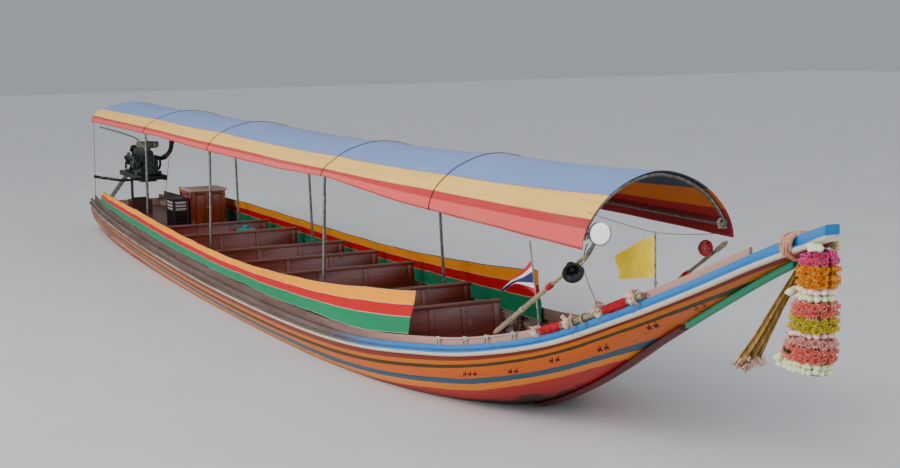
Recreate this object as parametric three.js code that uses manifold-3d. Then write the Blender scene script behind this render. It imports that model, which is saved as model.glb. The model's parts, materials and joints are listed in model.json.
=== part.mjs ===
import * as THREE from 'three';
import { mergeVertices } from 'three/addons/utils/BufferGeometryUtils.js';
import Module from 'manifold-3d';

// A narrow wooden longtail river boat with a striped cloth canopy, side curtains, a dressed
// prow, and a car engine that swivels and tilts on the stern with its propeller on a long tail.
// Millimetres. +X points to the bow, +Y to port, +Z up. The origin lies on the waterline,
// on the centreline, below the outer face of the transom.

// Driving dimensions of the hull
const LENGTH = 14620;             // transom to the tip of the prow
const HEAD_START = 13550;         // forward of this the prow is one solid timber
const PLANK = 30;                 // thickness of the hull planking
const GAP = 0.3;                  // between pieces that rest on each other
const WASHBOARD = { thickness: 30, end: 14150 };
const COAMING = { thickness: 20, start: 250, end: 14080 };
const RUB_STRIP = { height: 38, proud: 24 };
const FLOOR_TOP = -60;
const AFT_DECK = { top: 250, thickness: 22, end: 3950 };
const FORE_DECK = { start: 12250, end: 13520, below: 45, thickness: 20 };

// Driving dimensions of the canopy and its frame
const CANOPY = { aft: 620, fore: 13130, cloth: 8, exponent: 1.8 };
const CANOPY_AFT = { halfWidth: 558, edge: 1470 };
const CANOPY_FORE = { halfWidth: 510, edge: 1244 };
const CANOPY_RISE = [{ x: 620, y: 225 }, { x: 8960, y: 292 }, { x: 13130, y: 415 }];
const VALANCE = {                 // how far the cloth hangs below each edge
  starboard: [{ x: 7800, y: 15 }, { x: 9800, y: 55 }, { x: 11000, y: 55 }, { x: 13130, y: 10 }],
  port: 10,
};
const PIPE = 13;                  // radius of the hoop pipes
const PURLIN = 10;                // radius of the fore-and-aft pipes
const BRACE_RADIUS = 10;
const HOOPS = [
  { name: 'hoop_a', x: 3370 },
  { name: 'hoop_b', x: 5890 },
  { name: 'hoop_c', x: 9060 },
];
const LEG_Y = 540;                // half distance between the feet of a hoop

// Driving dimensions of the engine, which turns about the swivel and tilts about its pin
const SWIVEL_X = 800;
const PIN_Z = 700;
const RAIL = { y: 140, width: 44, height: 60, bottom: 725, aft: 400, fore: 1620 };
const BLOCK = { aft: 640, fore: 1400 };
const TAIL = { x: 400, z: 800, slope: 21, length: 2980, radius: 30, neck: 80 };
const PROPELLER = { radius: 165, hub: 34, overhang: 130, pitch: 330, blades: 2 };

const wasm = await Module();
wasm.setup();

const rad = THREE.MathUtils.degToRad;
const lerp = THREE.MathUtils.lerp;
const boat = new THREE.Group();

// Finishes
const paint = (color, roughness = 0.6, metalness = 0) =>
  new THREE.MeshStandardMaterial({ color, roughness, metalness });
const ORANGE = paint(0xc9701c, 0.5);
const WEATHERED = paint(0x7b6a5e, 0.85);
const PINK_WOOD = paint(0xa98d80, 0.8);
const BLUE = paint(0x3f86bd, 0.5);
const WHITE = paint(0xd8d5cc, 0.6);
const GREEN = paint(0x1f8f6e, 0.5);
const VARNISH = paint(0x5b1d14, 0.35);
const MAUVE = paint(0x5d3b3f, 0.5);
const STEEL = paint(0x77736c, 0.45, 0.9);
const DARK_STEEL = paint(0x26262a, 0.5, 0.8);
const ENGINE_GREEN = paint(0x2c3f33, 0.55, 0.5);
const KHAKI = paint(0x77745c, 0.6, 0.4);
const RED = paint(0xb3202a, 0.5);
const YELLOW = paint(0xe6c81e, 0.8);
const CLOTH = paint(0xe0a050, 0.9);
const BAMBOO = paint(0x9a7f5f, 0.7);
const BRONZE = paint(0xa07a3a, 0.4, 0.9);

function add(name, geometry, material, parent = boat) {
  const mesh = new THREE.Mesh(geometry, material);
  mesh.name = name;
  parent.add(mesh);
  return mesh;
}

// Hull form. Each row: distance from the transom, half beam and height of the gunwale,
// height of the keel line, and the bilge exponent (below 1 is boxy, above 1 is V-shaped).
const COLUMNS = ['x', 'halfBeam', 'gunwale', 'keel', 'bilge'];
const STATIONS = [
  [0, 480, 345, -60, 0.70],
  [1500, 640, 308, -130, 0.68],
  [4000, 776, 256, -185, 0.66],
  [7000, 855, 224, -200, 0.66],
  [9500, 846, 244, -190, 0.70],
  [10500, 795, 290, -150, 0.78],
  [11200, 708, 362, -85, 0.86],
  [11820, 592, 447, 53, 0.95],
  [12500, 410, 608, 335, 1.05],
  [13130, 262, 845, 680, 1.10],
  [13670, 165, 1068, 965, 1.10],
  [14220, 98, 1300, 1240, 1.10],
  [LENGTH, 45, 1450, 1412, 1.10],
];
// Frames at which every piece of the hull has its sections, so that pieces lie against each other
const FRAMES = [...stepsBetween(0, 10500, 12), 10850, 11200, 11550, 11900, 12250, 12600, 12950, 13250,
  HEAD_START, 13850, WASHBOARD.end, 14400, LENGTH];
const framesBetween = (from, to) => [from, ...FRAMES.filter((x) => x > from + 20 && x < to - 20), to];

function stepsBetween(from, to, count) {
  return Array.from({ length: count + 1 }, (_, index) => lerp(from, to, index / count));
}

// Height along a line of points, read at x
function valueAt(points, x) {
  const after = points.findIndex((point) => point.x >= x);
  if (after <= 0) return points[after === 0 ? 0 : points.length - 1].y;
  const [a, b] = [points[after - 1], points[after]];
  return lerp(a.y, b.y, (x - a.x) / (b.x - a.x));
}
function smoothLine(pairs, count) {
  const points = pairs.map(([x, value]) => new THREE.Vector3(x, value, 0));
  return new THREE.CatmullRomCurve3(points, false, 'centripetal').getPoints(count);
}
const TRACKS = Object.fromEntries(COLUMNS.slice(1).map((name, index) => {
  const smooth = smoothLine(STATIONS.map((row) => [row[0], row[index + 1]]), 360);
  return [name, FRAMES.map((x) => ({ x, y: valueAt(smooth, x) }))];
}));
const hullValue = (column, x) => valueAt(TRACKS[column], x);

// One point of the hull's section at x. The angle runs from -90 at the starboard gunwale,
// through 0 at the keel, to 90 at the port gunwale.
function framePoint(x, angle, inset) {
  const halfBeam = hullValue('halfBeam', x) - inset;
  const top = hullValue('gunwale', x);
  const depth = top - hullValue('keel', x) - inset;
  const bilge = hullValue('bilge', x);
  const sine = Math.sin(rad(angle));
  const cosine = Math.max(0, Math.cos(rad(angle)));
  return [x, halfBeam * Math.sign(sine) * Math.abs(sine) ** bilge, top - depth * cosine ** bilge];
}

// Between two frames the planking runs straight
function hullPoint(x, angle, inset = 0) {
  const after = Math.max(1, FRAMES.findIndex((frame) => frame >= x));
  const [a, b] = [framePoint(FRAMES[after - 1], angle, inset), framePoint(FRAMES[after], angle, inset)];
  const share = (x - a[0]) / (b[0] - a[0]);
  return a.map((value, index) => lerp(value, b[index], share));
}

// Half width inside the planking at a height
const SECTION_ANGLES = stepsBetween(-90, 90, 18);
function innerHalfWidth(x, z) {
  const side = SECTION_ANGLES.filter((angle) => angle >= 0).map((angle) => hullPoint(x, angle, PLANK));
  const after = side.findIndex((point) => point[2] >= z);
  if (after <= 0) return after === 0 ? 0 : side[side.length - 1][1];
  const [a, b] = [side[after - 1], side[after]];
  return lerp(a[1], b[1], (z - a[2]) / (b[2] - a[2]));
}

// Skin over rings of points with the same count. The ends are capped, or the last ring
// joins the first where the loft closes on itself.
function loft(rings, { closed = false, axis = 'x' } = {}) {
  const count = rings[0].length;
  const triangles = [];
  const last = closed ? rings.length : rings.length - 1;
  for (let ring = 0; ring < last; ring += 1) {
    const next = (ring + 1) % rings.length;
    for (let index = 0; index < count; index += 1) {
      const beside = (index + 1) % count;
      const [a, b] = [ring * count + index, ring * count + beside];
      const [c, d] = [next * count + beside, next * count + index];
      triangles.push(a, b, c, a, c, d);
    }
  }
  if (!closed) {
    const flat = { x: ([, y, z]) => [y, z], y: ([x, , z]) => [x, z], z: ([x, y]) => [x, y] }[axis];
    [0, rings.length - 1].forEach((ring) => {
      const outline = rings[ring].map((point) => new THREE.Vector2(...flat(point)));
      const turnsLeft = THREE.ShapeUtils.area(outline) > 0;
      const faces = THREE.ShapeUtils.triangulateShape(turnsLeft ? outline : outline.slice().reverse(), []);
      const toRing = (index) => ring * count + (turnsLeft ? index : count - 1 - index);
      faces.forEach(([a, b, c]) => {
        const face = [toRing(a), toRing(b), toRing(c)];
        const forward = turnsLeft === (ring === 0);
        triangles.push(...(forward ? [face[0], face[2], face[1]] : face));
      });
    });
  }
  const geometry = new THREE.BufferGeometry();
  geometry.setAttribute('position', new THREE.Float32BufferAttribute(rings.flat(2), 3));
  geometry.setIndex(capsAgree(triangles) ? triangles : mendCaps(triangles, count, rings.length, closed));
  return signedVolume(geometry) < 0 ? flipped(geometry) : geometry;
}

// True when every edge is walked once each way, as on a skin that faces one way all over
function capsAgree(triangles) {
  const walked = new Set();
  for (let index = 0; index < triangles.length; index += 3) {
    for (let side = 0; side < 3; side += 1) {
      const key = `${triangles[index + side]}_${triangles[index + ((side + 1) % 3)]}`;
      if (walked.has(key)) return false;
      walked.add(key);
    }
  }
  return true;
}

// Turns each cap over when it faces against the wall that it closes
function mendCaps(triangles, count, ringCount, closed) {
  const walls = (closed ? ringCount : ringCount - 1) * count * 6;
  const caps = triangles.slice(walls);
  const turned = [];
  for (let index = 0; index < caps.length; index += 3) {
    turned.push(caps[index], caps[index + 2], caps[index + 1]);
  }
  return triangles.slice(0, walls).concat(turned);
}

function signedVolume(geometry) {
  const position = geometry.attributes.position;
  const corners = geometry.index.array;
  const [a, b, c] = [new THREE.Vector3(), new THREE.Vector3(), new THREE.Vector3()];
  let volume = 0;
  for (let index = 0; index < corners.length; index += 3) {
    a.fromBufferAttribute(position, corners[index]);
    b.fromBufferAttribute(position, corners[index + 1]);
    c.fromBufferAttribute(position, corners[index + 2]);
    volume += a.dot(b.cross(c)) / 6;
  }
  return volume;
}

function flipped(geometry) {
  const corners = Array.from(geometry.index.array);
  for (let index = 0; index < corners.length; index += 3) {
    [corners[index + 1], corners[index + 2]] = [corners[index + 2], corners[index + 1]];
  }
  geometry.setIndex(corners);
  return geometry;
}

// A plank whose section is a box, given by its low and high corners in y and z at each x
function plank(xs, sectionAt) {
  return loft(xs.map((x) => {
    const { y0, y1, z0, z1 } = sectionAt(x);
    return [[x, y0, z0], [x, y1, z0], [x, y1, z1], [x, y0, z1]];
  }));
}

function box(x0, x1, y0, y1, z0, z1) {
  const geometry = new THREE.BoxGeometry(x1 - x0, y1 - y0, z1 - z0);
  return geometry.translate((x0 + x1) / 2, (y0 + y1) / 2, (z0 + z1) / 2);
}

// A round bar along a smooth line through points
function bar(points, radius, { sides = 8, steps = 12, straight = false } = {}) {
  const corners = points.map((point) => new THREE.Vector3(...point));
  const path = straight ? new THREE.LineCurve3(corners[0], corners[corners.length - 1])
    : new THREE.CatmullRomCurve3(corners, false, 'centripetal');
  const section = new THREE.Shape(stepsBetween(0, 360 - 360 / sides, sides - 1).map((angle) =>
    new THREE.Vector2(Math.cos(rad(angle)) * radius, Math.sin(rad(angle)) * radius)));
  return new THREE.ExtrudeGeometry(section, { steps: straight ? 1 : steps, extrudePath: path });
}

// A turned piece whose axis runs along a direction from a base point
function turned(profile, base, direction, segments = 16) {
  const lathe = new THREE.LatheGeometry(profile.map(([r, h]) => new THREE.Vector2(r, h)), segments);
  const spin = new THREE.Quaternion().setFromUnitVectors(
    new THREE.Vector3(0, 1, 0), new THREE.Vector3(...direction).normalize());
  return lathe.applyQuaternion(spin).translate(...base);
}

// Welds overlapping pieces into one solid
function toSolid(geometry) {
  const bare = geometry.clone();
  bare.deleteAttribute('normal');
  bare.deleteAttribute('uv');
  const merged = mergeVertices(bare, 1e-3);
  const corners = Array.from(merged.index.array);
  const triVerts = [];
  for (let index = 0; index < corners.length; index += 3) {
    const face = corners.slice(index, index + 3);
    if (new Set(face).size === 3) triVerts.push(...face);
  }
  return new wasm.Manifold(new wasm.Mesh({
    numProp: 3,
    vertProperties: Float32Array.from(merged.attributes.position.array),
    triVerts: Uint32Array.from(triVerts),
  }));
}
function weld(...geometries) {
  const [first, ...others] = geometries.map(toSolid);
  const { vertProperties, triVerts } = others.reduce((whole, piece) => whole.add(piece), first).getMesh();
  const geometry = new THREE.BufferGeometry();
  geometry.setAttribute('position', new THREE.Float32BufferAttribute(vertProperties, 3));
  geometry.setIndex(Array.from(triVerts));
  return geometry;
}

// Hull shell, open inside: the bottom planking, scarfed amidships, and the side planking
const BILGE_ANGLE = 40;
const SEAM_ANGLE = 0.05;
const SCARF_X = FRAMES[9];
function planking({ x0, x1, from, to }) {
  const angles = [from, ...SECTION_ANGLES.filter((angle) => angle > from + 1 && angle < to - 1), to];
  return loft(framesBetween(x0, x1).map((x) => [
    ...angles.map((angle) => hullPoint(x, angle)),
    ...angles.slice().reverse().map((angle) => hullPoint(x, angle, PLANK)),
  ]));
}
const SHELL = [
  { name: 'hull_bottom_aft', x0: 0, x1: SCARF_X, from: -BILGE_ANGLE, to: BILGE_ANGLE },
  { name: 'hull_bottom_fore', x0: SCARF_X + GAP, x1: HEAD_START, from: -BILGE_ANGLE, to: BILGE_ANGLE },
  { name: 'hull_side_starboard', x0: 0, x1: HEAD_START, from: -90, to: -BILGE_ANGLE - SEAM_ANGLE },
  { name: 'hull_side_port', x0: 0, x1: HEAD_START, from: BILGE_ANGLE + SEAM_ANGLE, to: 90 },
];
SHELL.forEach((row) => add(row.name, planking(row), ORANGE));

// Prow head: the solid timber that carries the planks to the tip
const headTimber = loft(framesBetween(HEAD_START + GAP, LENGTH).map((x) =>
  stepsBetween(-90, 90, 10).map((angle) => hullPoint(x, angle))));

// Transom: closes the stern inside the planking
const TRANSOM_THICKNESS = 36;
add('transom', loft([2, 2 + TRANSOM_THICKNESS].map((x) =>
  SECTION_ANGLES.map((angle) => hullPoint(x, angle, PLANK + GAP + 1)))), WEATHERED);

// Keel plank under the bottom, and the green cutwater under the prow
function keelStrip(from, to, width, depth) {
  return plank(framesBetween(from, to), (x) => {
    const top = hullValue('keel', x) - 0.5;
    return { y0: -width / 2, y1: width / 2, z0: top - depth, z1: top };
  });
}
add('keel', keelStrip(300, 13380, 70, 34), WEATHERED);
add('cutwater', keelStrip(13420, 14352, 46, 38), GREEN);

// Washboards, coamings and rub strips run along both gunwales. The boards are lowest forward of
// amidships, where the sheer starts to rise.
const alongFrames = (points) => FRAMES.map((x) => ({ x, y: valueAt(smoothLine(points, 90), x) }));
const BOARD_HEIGHTS = {
  washboard: alongFrames([[0, 50], [7000, 49], [9500, 42], [11200, 35], [12000, 37], [12800, 44], [14000, 46],
    [14620, 52]]),
  coaming: alongFrames([[0, 118], [7000, 118], [9000, 110], [10800, 85], [12000, 85], [12800, 93], [14620, 92]]),
};
const washboardHeight = (x) => valueAt(BOARD_HEIGHTS.washboard, x);
const coamingHeight = (x) => valueAt(BOARD_HEIGHTS.coaming, x);
const SIDES = [{ name: 'starboard', sign: -1 }, { name: 'port', sign: 1 }];
function alongGunwale(sign, xs, { inner, outer, low, high }) {
  return plank(xs, (x) => {
    const halfBeam = hullValue('halfBeam', x);
    const ys = [sign * (halfBeam + inner), sign * (halfBeam + outer)].sort((a, b) => a - b);
    const gunwale = hullValue('gunwale', x);
    return { y0: ys[0], y1: ys[1], z0: gunwale + low, z1: gunwale + (typeof high === 'function' ? high(x) : high) };
  });
}
SIDES.forEach(({ name, sign }) => {
  const inboard = -WASHBOARD.thickness;
  add(`washboard_${name}`, alongGunwale(sign, framesBetween(0, WASHBOARD.end),
    { inner: inboard, outer: 0, low: GAP, high: washboardHeight }), BLUE);
  add(`coaming_${name}`, alongGunwale(sign, framesBetween(COAMING.start, COAMING.end),
    { inner: inboard - GAP - COAMING.thickness, outer: inboard - GAP, low: 4, high: coamingHeight }), PINK_WOOD);
  add(`rub_strip_${name}`, alongGunwale(sign, framesBetween(0, 14540),
    { inner: GAP + 0.5, outer: RUB_STRIP.proud, low: -RUB_STRIP.height, high: -GAP }), WHITE);
});

// The head's last stretch rises to the height of the washboards, which end against it
const headCap = plank(framesBetween(WASHBOARD.end + GAP, LENGTH - 1), (x) => {
  const halfBeam = hullValue('halfBeam', x) - 0.5;
  const gunwale = hullValue('gunwale', x);
  return { y0: -halfBeam, y1: halfBeam, z0: gunwale - 10, z1: gunwale + washboardHeight(x) };
});
add('prow_head', weld(headTimber, headCap), ORANGE);

// Decks and floorboards lie inside the planking
const DECK_CLEARANCE = 0.9;
function deck(from, to, topAt, thickness, clearance = DECK_CLEARANCE) {
  return plank(framesBetween(from, to), (x) => {
    const top = topAt(x);
    const half = innerHalfWidth(x, top - thickness) - clearance;
    return { y0: -half, y1: half, z0: top - thickness, z1: top };
  });
}
const TRANSOM_INSIDE = 2 + TRANSOM_THICKNESS + GAP;
add('floorboards', deck(AFT_DECK.end + 30, 10580, () => FLOOR_TOP, 20, 2), VARNISH);

// Each deck ends in a bulkhead shaped to the inside of the hull
function bulkhead(x, thickness, top) {
  const faces = [x, x + thickness];
  const tight = hullValue('halfBeam', faces[0]) < hullValue('halfBeam', faces[1]) ? faces[0] : faces[1];
  const edge = SECTION_ANGLES.map((angle) => hullPoint(tight, angle, PLANK + DECK_CLEARANCE));
  const half = innerHalfWidth(tight, top) - DECK_CLEARANCE;
  const outline = [[-half, top], ...edge.filter((point) => point[2] <= top).map(([, y, z]) => [y, z]), [half, top]];
  return loft(faces.map((place) => outline.map(([y, z]) => [place, y, z])));
}
const BULKHEAD_THICKNESS = 22;
add('aft_deck', weld(
  deck(TRANSOM_INSIDE, AFT_DECK.end, () => AFT_DECK.top, AFT_DECK.thickness),
  bulkhead(AFT_DECK.end - BULKHEAD_THICKNESS, BULKHEAD_THICKNESS, AFT_DECK.top - 5),
), VARNISH);
const foreDeckTop = (x) => hullValue('gunwale', x) - FORE_DECK.below;
add('fore_deck', weld(
  deck(FORE_DECK.start, FORE_DECK.end, foreDeckTop, FORE_DECK.thickness),
  bulkhead(FORE_DECK.start, BULKHEAD_THICKNESS, foreDeckTop(FORE_DECK.start) - 5),
), PINK_WOOD);

// Benches: a backrest, a seat and a front board in one folded profile, facing the bow
const BENCH = { depth: 330, seat: 200, board: 22, backTop: 455, lean: 45, panel: 22 };
function bench(x) {
  const floor = FLOOR_TOP + GAP;
  const { depth, seat, board, backTop, lean, panel } = BENCH;
  const profile = new THREE.Shape([
    [0, floor], [panel, floor], [panel, seat - board], [depth - panel, seat - board], [depth - panel, floor],
    [depth, floor], [depth, seat], [panel, seat], [panel - lean, backTop], [-lean, backTop], [0, seat],
  ].map(([along, height]) => new THREE.Vector2(along, height)));
  const half = Math.min(innerHalfWidth(x, floor), innerHalfWidth(x + depth, floor)) - 8;
  const geometry = new THREE.ExtrudeGeometry(profile, { depth: 2 * half, bevelEnabled: false });
  return geometry.rotateX(rad(90)).translate(x, half, 0);
}
const BENCH_XS = [4250, 5120, 6420, 7270, 8120, 9420, 10270];
BENCH_XS.forEach((x, index) => add(`bench_${index + 1}`, bench(x), MAUVE));

// Thwarts carry the feet of the hoops that stand forward of the aft deck
const THWART = { width: 90, top: 262, height: 50 };
HOOPS.slice(1).forEach(({ name, x }) => {
  const beam = Math.min(...[-1, 1].map((end) => hullValue('halfBeam', x + end * THWART.width / 2)));
  const half = beam - WASHBOARD.thickness - COAMING.thickness - 2 * GAP;
  add(`thwart_${name.slice(-1)}`, box(x - THWART.width / 2, x + THWART.width / 2, -half, half,
    THWART.top - THWART.height, THWART.top), VARNISH);
});

// Canopy: an arched cloth from edge to edge, the same form inset for the pipes below it
function canopyAt(x) {
  const share = (x - CANOPY.aft) / (CANOPY.fore - CANOPY.aft);
  return {
    halfWidth: lerp(CANOPY_AFT.halfWidth, CANOPY_FORE.halfWidth, share),
    edge: lerp(CANOPY_AFT.edge, CANOPY_FORE.edge, share),
    rise: valueAt(CANOPY_RISE, x),
  };
}
function archPoint(x, angle, inset) {
  const { halfWidth, edge, rise } = canopyAt(x);
  const power = 2 / CANOPY.exponent;
  const cosine = Math.cos(rad(angle));
  const across = Math.sign(cosine) * Math.abs(cosine) ** power;
  return [x, -(halfWidth - inset) * across, edge + (rise - inset) * Math.sin(rad(angle)) ** power];
}
const ARCH_ANGLES = [0, 8, 18, 30, 45, 60, 75, 90, 105, 120, 135, 150, 162, 172, 180];
add('canopy_cloth', loft(stepsBetween(CANOPY.aft, CANOPY.fore, 12).map((x) => {
  const { edge } = canopyAt(x);
  const drop = { [-1]: valueAt(VALANCE.starboard, x), 1: VALANCE.port };
  const hem = (inset, side) => [x, side * (canopyAt(x).halfWidth - inset), edge - drop[side]];
  return [
    hem(0, -1), ...ARCH_ANGLES.map((angle) => archPoint(x, angle, 0)), hem(0, 1),
    hem(CANOPY.cloth, 1), ...ARCH_ANGLES.slice().reverse().map((angle) => archPoint(x, angle, CANOPY.cloth)),
    hem(CANOPY.cloth, -1),
  ];
})), CLOTH);

// Hoops: one bent pipe each, from foot to foot under the cloth
const PIPE_INSET = CANOPY.cloth + PIPE + 5;
function archBar(x, footZ, legY) {
  const edge = canopyAt(x).edge;
  const arch = ARCH_ANGLES.filter((angle) => angle >= 8 && angle <= 172).map((angle) => archPoint(x, angle, PIPE_INSET));
  const width = canopyAt(x).halfWidth - PIPE_INSET;
  const leg = (side) => [[x, side * legY, footZ], [x, side * lerp(legY, width, 0.9), edge - 150],
    [x, side * width, edge - 10]];
  const points = footZ === null ? arch : [...leg(-1), ...arch, ...leg(1).reverse()];
  return bar(points, PIPE, { steps: footZ === null ? 20 : 34 });
}
// The aftmost hoop also carries two braces that curve back under the canopy's edges
function aftBrace(sign) {
  const y = sign * (canopyAt(2000).halfWidth - PIPE_INSET - 26);
  const edge = canopyAt(3000).edge;
  return bar([[HOOPS[0].x, y + sign * 22, edge - 330], [3230, y, edge - 190], [2900, y, edge - 100],
    [2200, y, edge - 62], [900, y, edge - 40]], BRACE_RADIUS, { steps: 18 });
}
HOOPS.forEach(({ name, x }) => {
  const braced = name === 'hoop_a';
  const pipe = archBar(x, (braced ? AFT_DECK.top : THWART.top) + 3 * GAP, LEG_Y);
  add(name, braced ? weld(pipe, aftBrace(-1), aftBrace(1)) : pipe, STEEL);
});
const FREE_HOOPS = [
  { name: 'hoop_aft', x: CANOPY.aft + 40 },
  { name: 'hoop_mid', x: 11100 },
  { name: 'hoop_front', x: CANOPY.fore - 40 },
];
FREE_HOOPS.forEach(({ name, x }) => add(name, archBar(x, null), STEEL));

// Purlins run fore and aft inside the hoops, one at each edge, and follow the crown's slow change
const PURLIN_INSET = PIPE_INSET + PIPE + PURLIN + 9.2;
const purlinXs = [CANOPY.aft + 12, 3370, 5890, 8960, 11100, CANOPY.fore - 12];
const purlinAngles = { purlin_starboard: 14, purlin_port: 166 };
Object.entries(purlinAngles).forEach(([name, angle]) => {
  add(name, bar(purlinXs.map((x) => archPoint(x, angle, PURLIN_INSET)), PURLIN), STEEL);
});

// Where a piece stands on a coaming
const coamingTop = (x) => hullValue('gunwale', x) + coamingHeight(x) + GAP;
const coamingY = (x) => hullValue('halfBeam', x) - WASHBOARD.thickness - GAP - COAMING.thickness / 2;

// Front struts rake from the coaming up to the front corners of the canopy
const STRUT = { footX: 12026, topX: 13118, radius: 16 };
SIDES.forEach(({ name, sign }) => {
  const { halfWidth, edge } = canopyAt(STRUT.topX);
  const footZ = coamingTop(STRUT.footX + STRUT.radius / 2) + STRUT.radius * 0.88;
  add(`front_strut_${name}`, bar([[STRUT.footX, sign * coamingY(STRUT.footX), footZ],
    [STRUT.topX, sign * (halfWidth - 40), edge - 34]], STRUT.radius, { straight: true }), BAMBOO);
});

// Side curtains stand on the coamings from the stern quarter to the front bench, and the
// starboard one reaches a little further forward
const CURTAIN = { aft: 900, fore: { starboard: 11100, port: 10380 }, thickness: 10 };
const curtainTop = smoothLine([[900, 560], [3400, 555], [5500, 515], [7500, 505], [8700, 548],
  [9700, 606], [10500, 680], [11100, 732]], 80);
SIDES.forEach(({ name, sign }) => {
  add(`curtain_${name}`, loft(framesBetween(CURTAIN.aft, CURTAIN.fore[name]).map((x) => {
    const foot = coamingTop(x);
    const top = valueAt(curtainTop, x);
    const outer = hullValue('halfBeam', x) - WASHBOARD.thickness - 2;
    const lean = Math.min(60, outer * 0.09);
    return [[x, sign * outer, foot], [x, sign * (outer - CURTAIN.thickness), foot],
      [x, sign * (outer - lean - CURTAIN.thickness), top], [x, sign * (outer - lean), top]];
  })), CLOTH);
});

// Cabinet and slatted locker stand on the port side of the aft deck
const onDeck = AFT_DECK.top + GAP;
add('cabinet', weld(box(2600, 3000, 80, 500, onDeck, 695), box(2585, 3020, 65, 515, 690, 715)), VARNISH);
add('slatted_locker', box(2650, 2950, -130, 60, onDeck, 610), DARK_STEEL);
add('jug', turned([[0, 0], [118, 0], [125, 12], [125, 165], [100, 195], [45, 205], [45, 228], [0, 228]],
  [4440, 290, BENCH.seat + GAP], [0, 0, 1]), GREEN);

// Lamps and horn at the front of the canopy
const forward = [1, -0.1, 0.05];
add('headlamp', weld(turned([[0, -56], [30, -52], [58, -16], [66, 0], [66, 12], [54, 17], [0, 20]],
  [13300, -500, 1350], forward), bar([[13120.2, -470, 1211.1], [13268, -500, 1315]], 10.5, { straight: true })), WHITE);
add('horn', turned([[0, -70], [26, -68], [30, -20], [62, 30], [62, 36], [0, 20]],
  [13060, -534.4, 1119], [1, -0.4, -0.3]), DARK_STEEL);
add('red_lamp', turned([[0, -40], [30, -38], [50, 0], [44, 14], [0, 18]], [12985, 414, 1164], [1, 0, 0.1]), RED);

// Flags hang from poles that stand on the starboard coaming. The cloth is a thin plate with the
// outline of the drooping flag, given in the boat's own x and z.
function flag(name, poleFoot, poleTop, outline, finish) {
  const y = -coamingY(poleFoot);
  const lean = (poleFoot - poleTop[0]) / (poleTop[1] - coamingTop(poleFoot));
  const pole = bar([[poleFoot, y, coamingTop(poleFoot + 6) - 6 * lean], [poleTop[0], y, poleTop[1]]], 6,
    { sides: 6, straight: true });
  const cloth = new THREE.ExtrudeGeometry(new THREE.Shape(outline.map(([x, z]) => new THREE.Vector2(x, z))),
    { depth: 4, bevelEnabled: false }).rotateX(rad(90)).translate(0, y + 2, 0);
  add(name, weld(pole, cloth), finish);
}
flag('yellow_flag', 13355, [13355, 1345], [[13355, 1318], [12945, 1163], [12975, 1028], [13355, 1093]], YELLOW);
flag('small_flag', 12412, [12300, 1190], [[12328, 1080], [11930, 845], [11925, 815], [12130, 905], [12376, 866]], WHITE);

// Prow dressing: cloth wrap round the timber, flower garlands below it and a long sash
function wrapRing(x, grow) {
  const halfBeam = hullValue('halfBeam', x) + RUB_STRIP.proud + grow;
  const top = hullValue('gunwale', x) + washboardHeight(x) + grow;
  const bottom = hullValue('keel', x) - grow;
  const low = hullValue('gunwale', x) - RUB_STRIP.height - grow;
  return [[x, -halfBeam, low], [x, -halfBeam, top - 10], [x, -halfBeam + 10, top], [x, halfBeam - 10, top],
    [x, halfBeam, top - 10], [x, halfBeam, low], [x, 30 + grow, bottom], [x, -30 - grow, bottom]];
}
add('prow_wrap', loft([wrapRing(14368, 0.9), wrapRing(14368, 16), wrapRing(14402, 24), wrapRing(14436, 16),
  wrapRing(14436, 0.9)], { closed: true }), PINK_WOOD);
function roundedRing(z, x0, x1, half) {
  const cut = half * 0.45;
  return [[x0 + cut, -half, z], [x1 - cut, -half, z], [x1, -half + cut, z], [x1, half - cut, z],
    [x1 - cut, half, z], [x0 + cut, half, z], [x0, half - cut, z], [x0, -half + cut, z]];
}
// Rows of flowers hang below each other, each fullest at its middle, and fan out aft
const GARLANDS = { under: 1236, row: 70, rows: 7, aft: 14440, spread: 150, fore: 14606, half: 84, waist: 14 };
const underKeel = roundedRing(0, 14442, 14590, 50).map(([x, y]) => [x, y, hullValue('keel', x) - GAP]);
const garlandRings = [underKeel, roundedRing(1314, 14436.3, 14600, 74), roundedRing(1272, 14436.3, 14604, 80)];
stepsBetween(0, GARLANDS.rows, 2 * GARLANDS.rows).forEach((row) => {
  const waist = row % 1 === 0 ? GARLANDS.waist : 0;
  const share = row / GARLANDS.rows;
  garlandRings.push(roundedRing(GARLANDS.under - row * GARLANDS.row, GARLANDS.aft + waist - GARLANDS.spread * share,
    GARLANDS.fore - waist - 14 * share ** 3, GARLANDS.half - waist * 0.6));
});
add('garlands', loft(garlandRings, { axis: 'z' }), RED);
add('sash', loft([[14404, hullValue('keel', 14392) - 22, 45, 12],
  [14378, 1252, 46, 14], [14240, 1080, 50, 20], [14090, 880, 55, 24], [13940, 690, 68, 34]].map(
  ([x, z, half, thick]) => [[x - thick, -half, z], [x + thick, -half, z], [x + thick, half, z], [x - thick, half, z]]),
{ axis: 'z' }), KHAKI);

// Fender pole lashed on the starboard washboard, against the coaming
const POLE = { from: 12400, to: 13300, radius: 22 };
add('fender_pole', bar(stepsBetween(POLE.from, POLE.to, 6).map((x) =>
  [x, -(hullValue('halfBeam', x) - WASHBOARD.thickness + POLE.radius + 2.2),
    hullValue('gunwale', x) + washboardHeight(x) + POLE.radius + 2.6]), POLE.radius, { steps: 12 }), BAMBOO);

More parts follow.
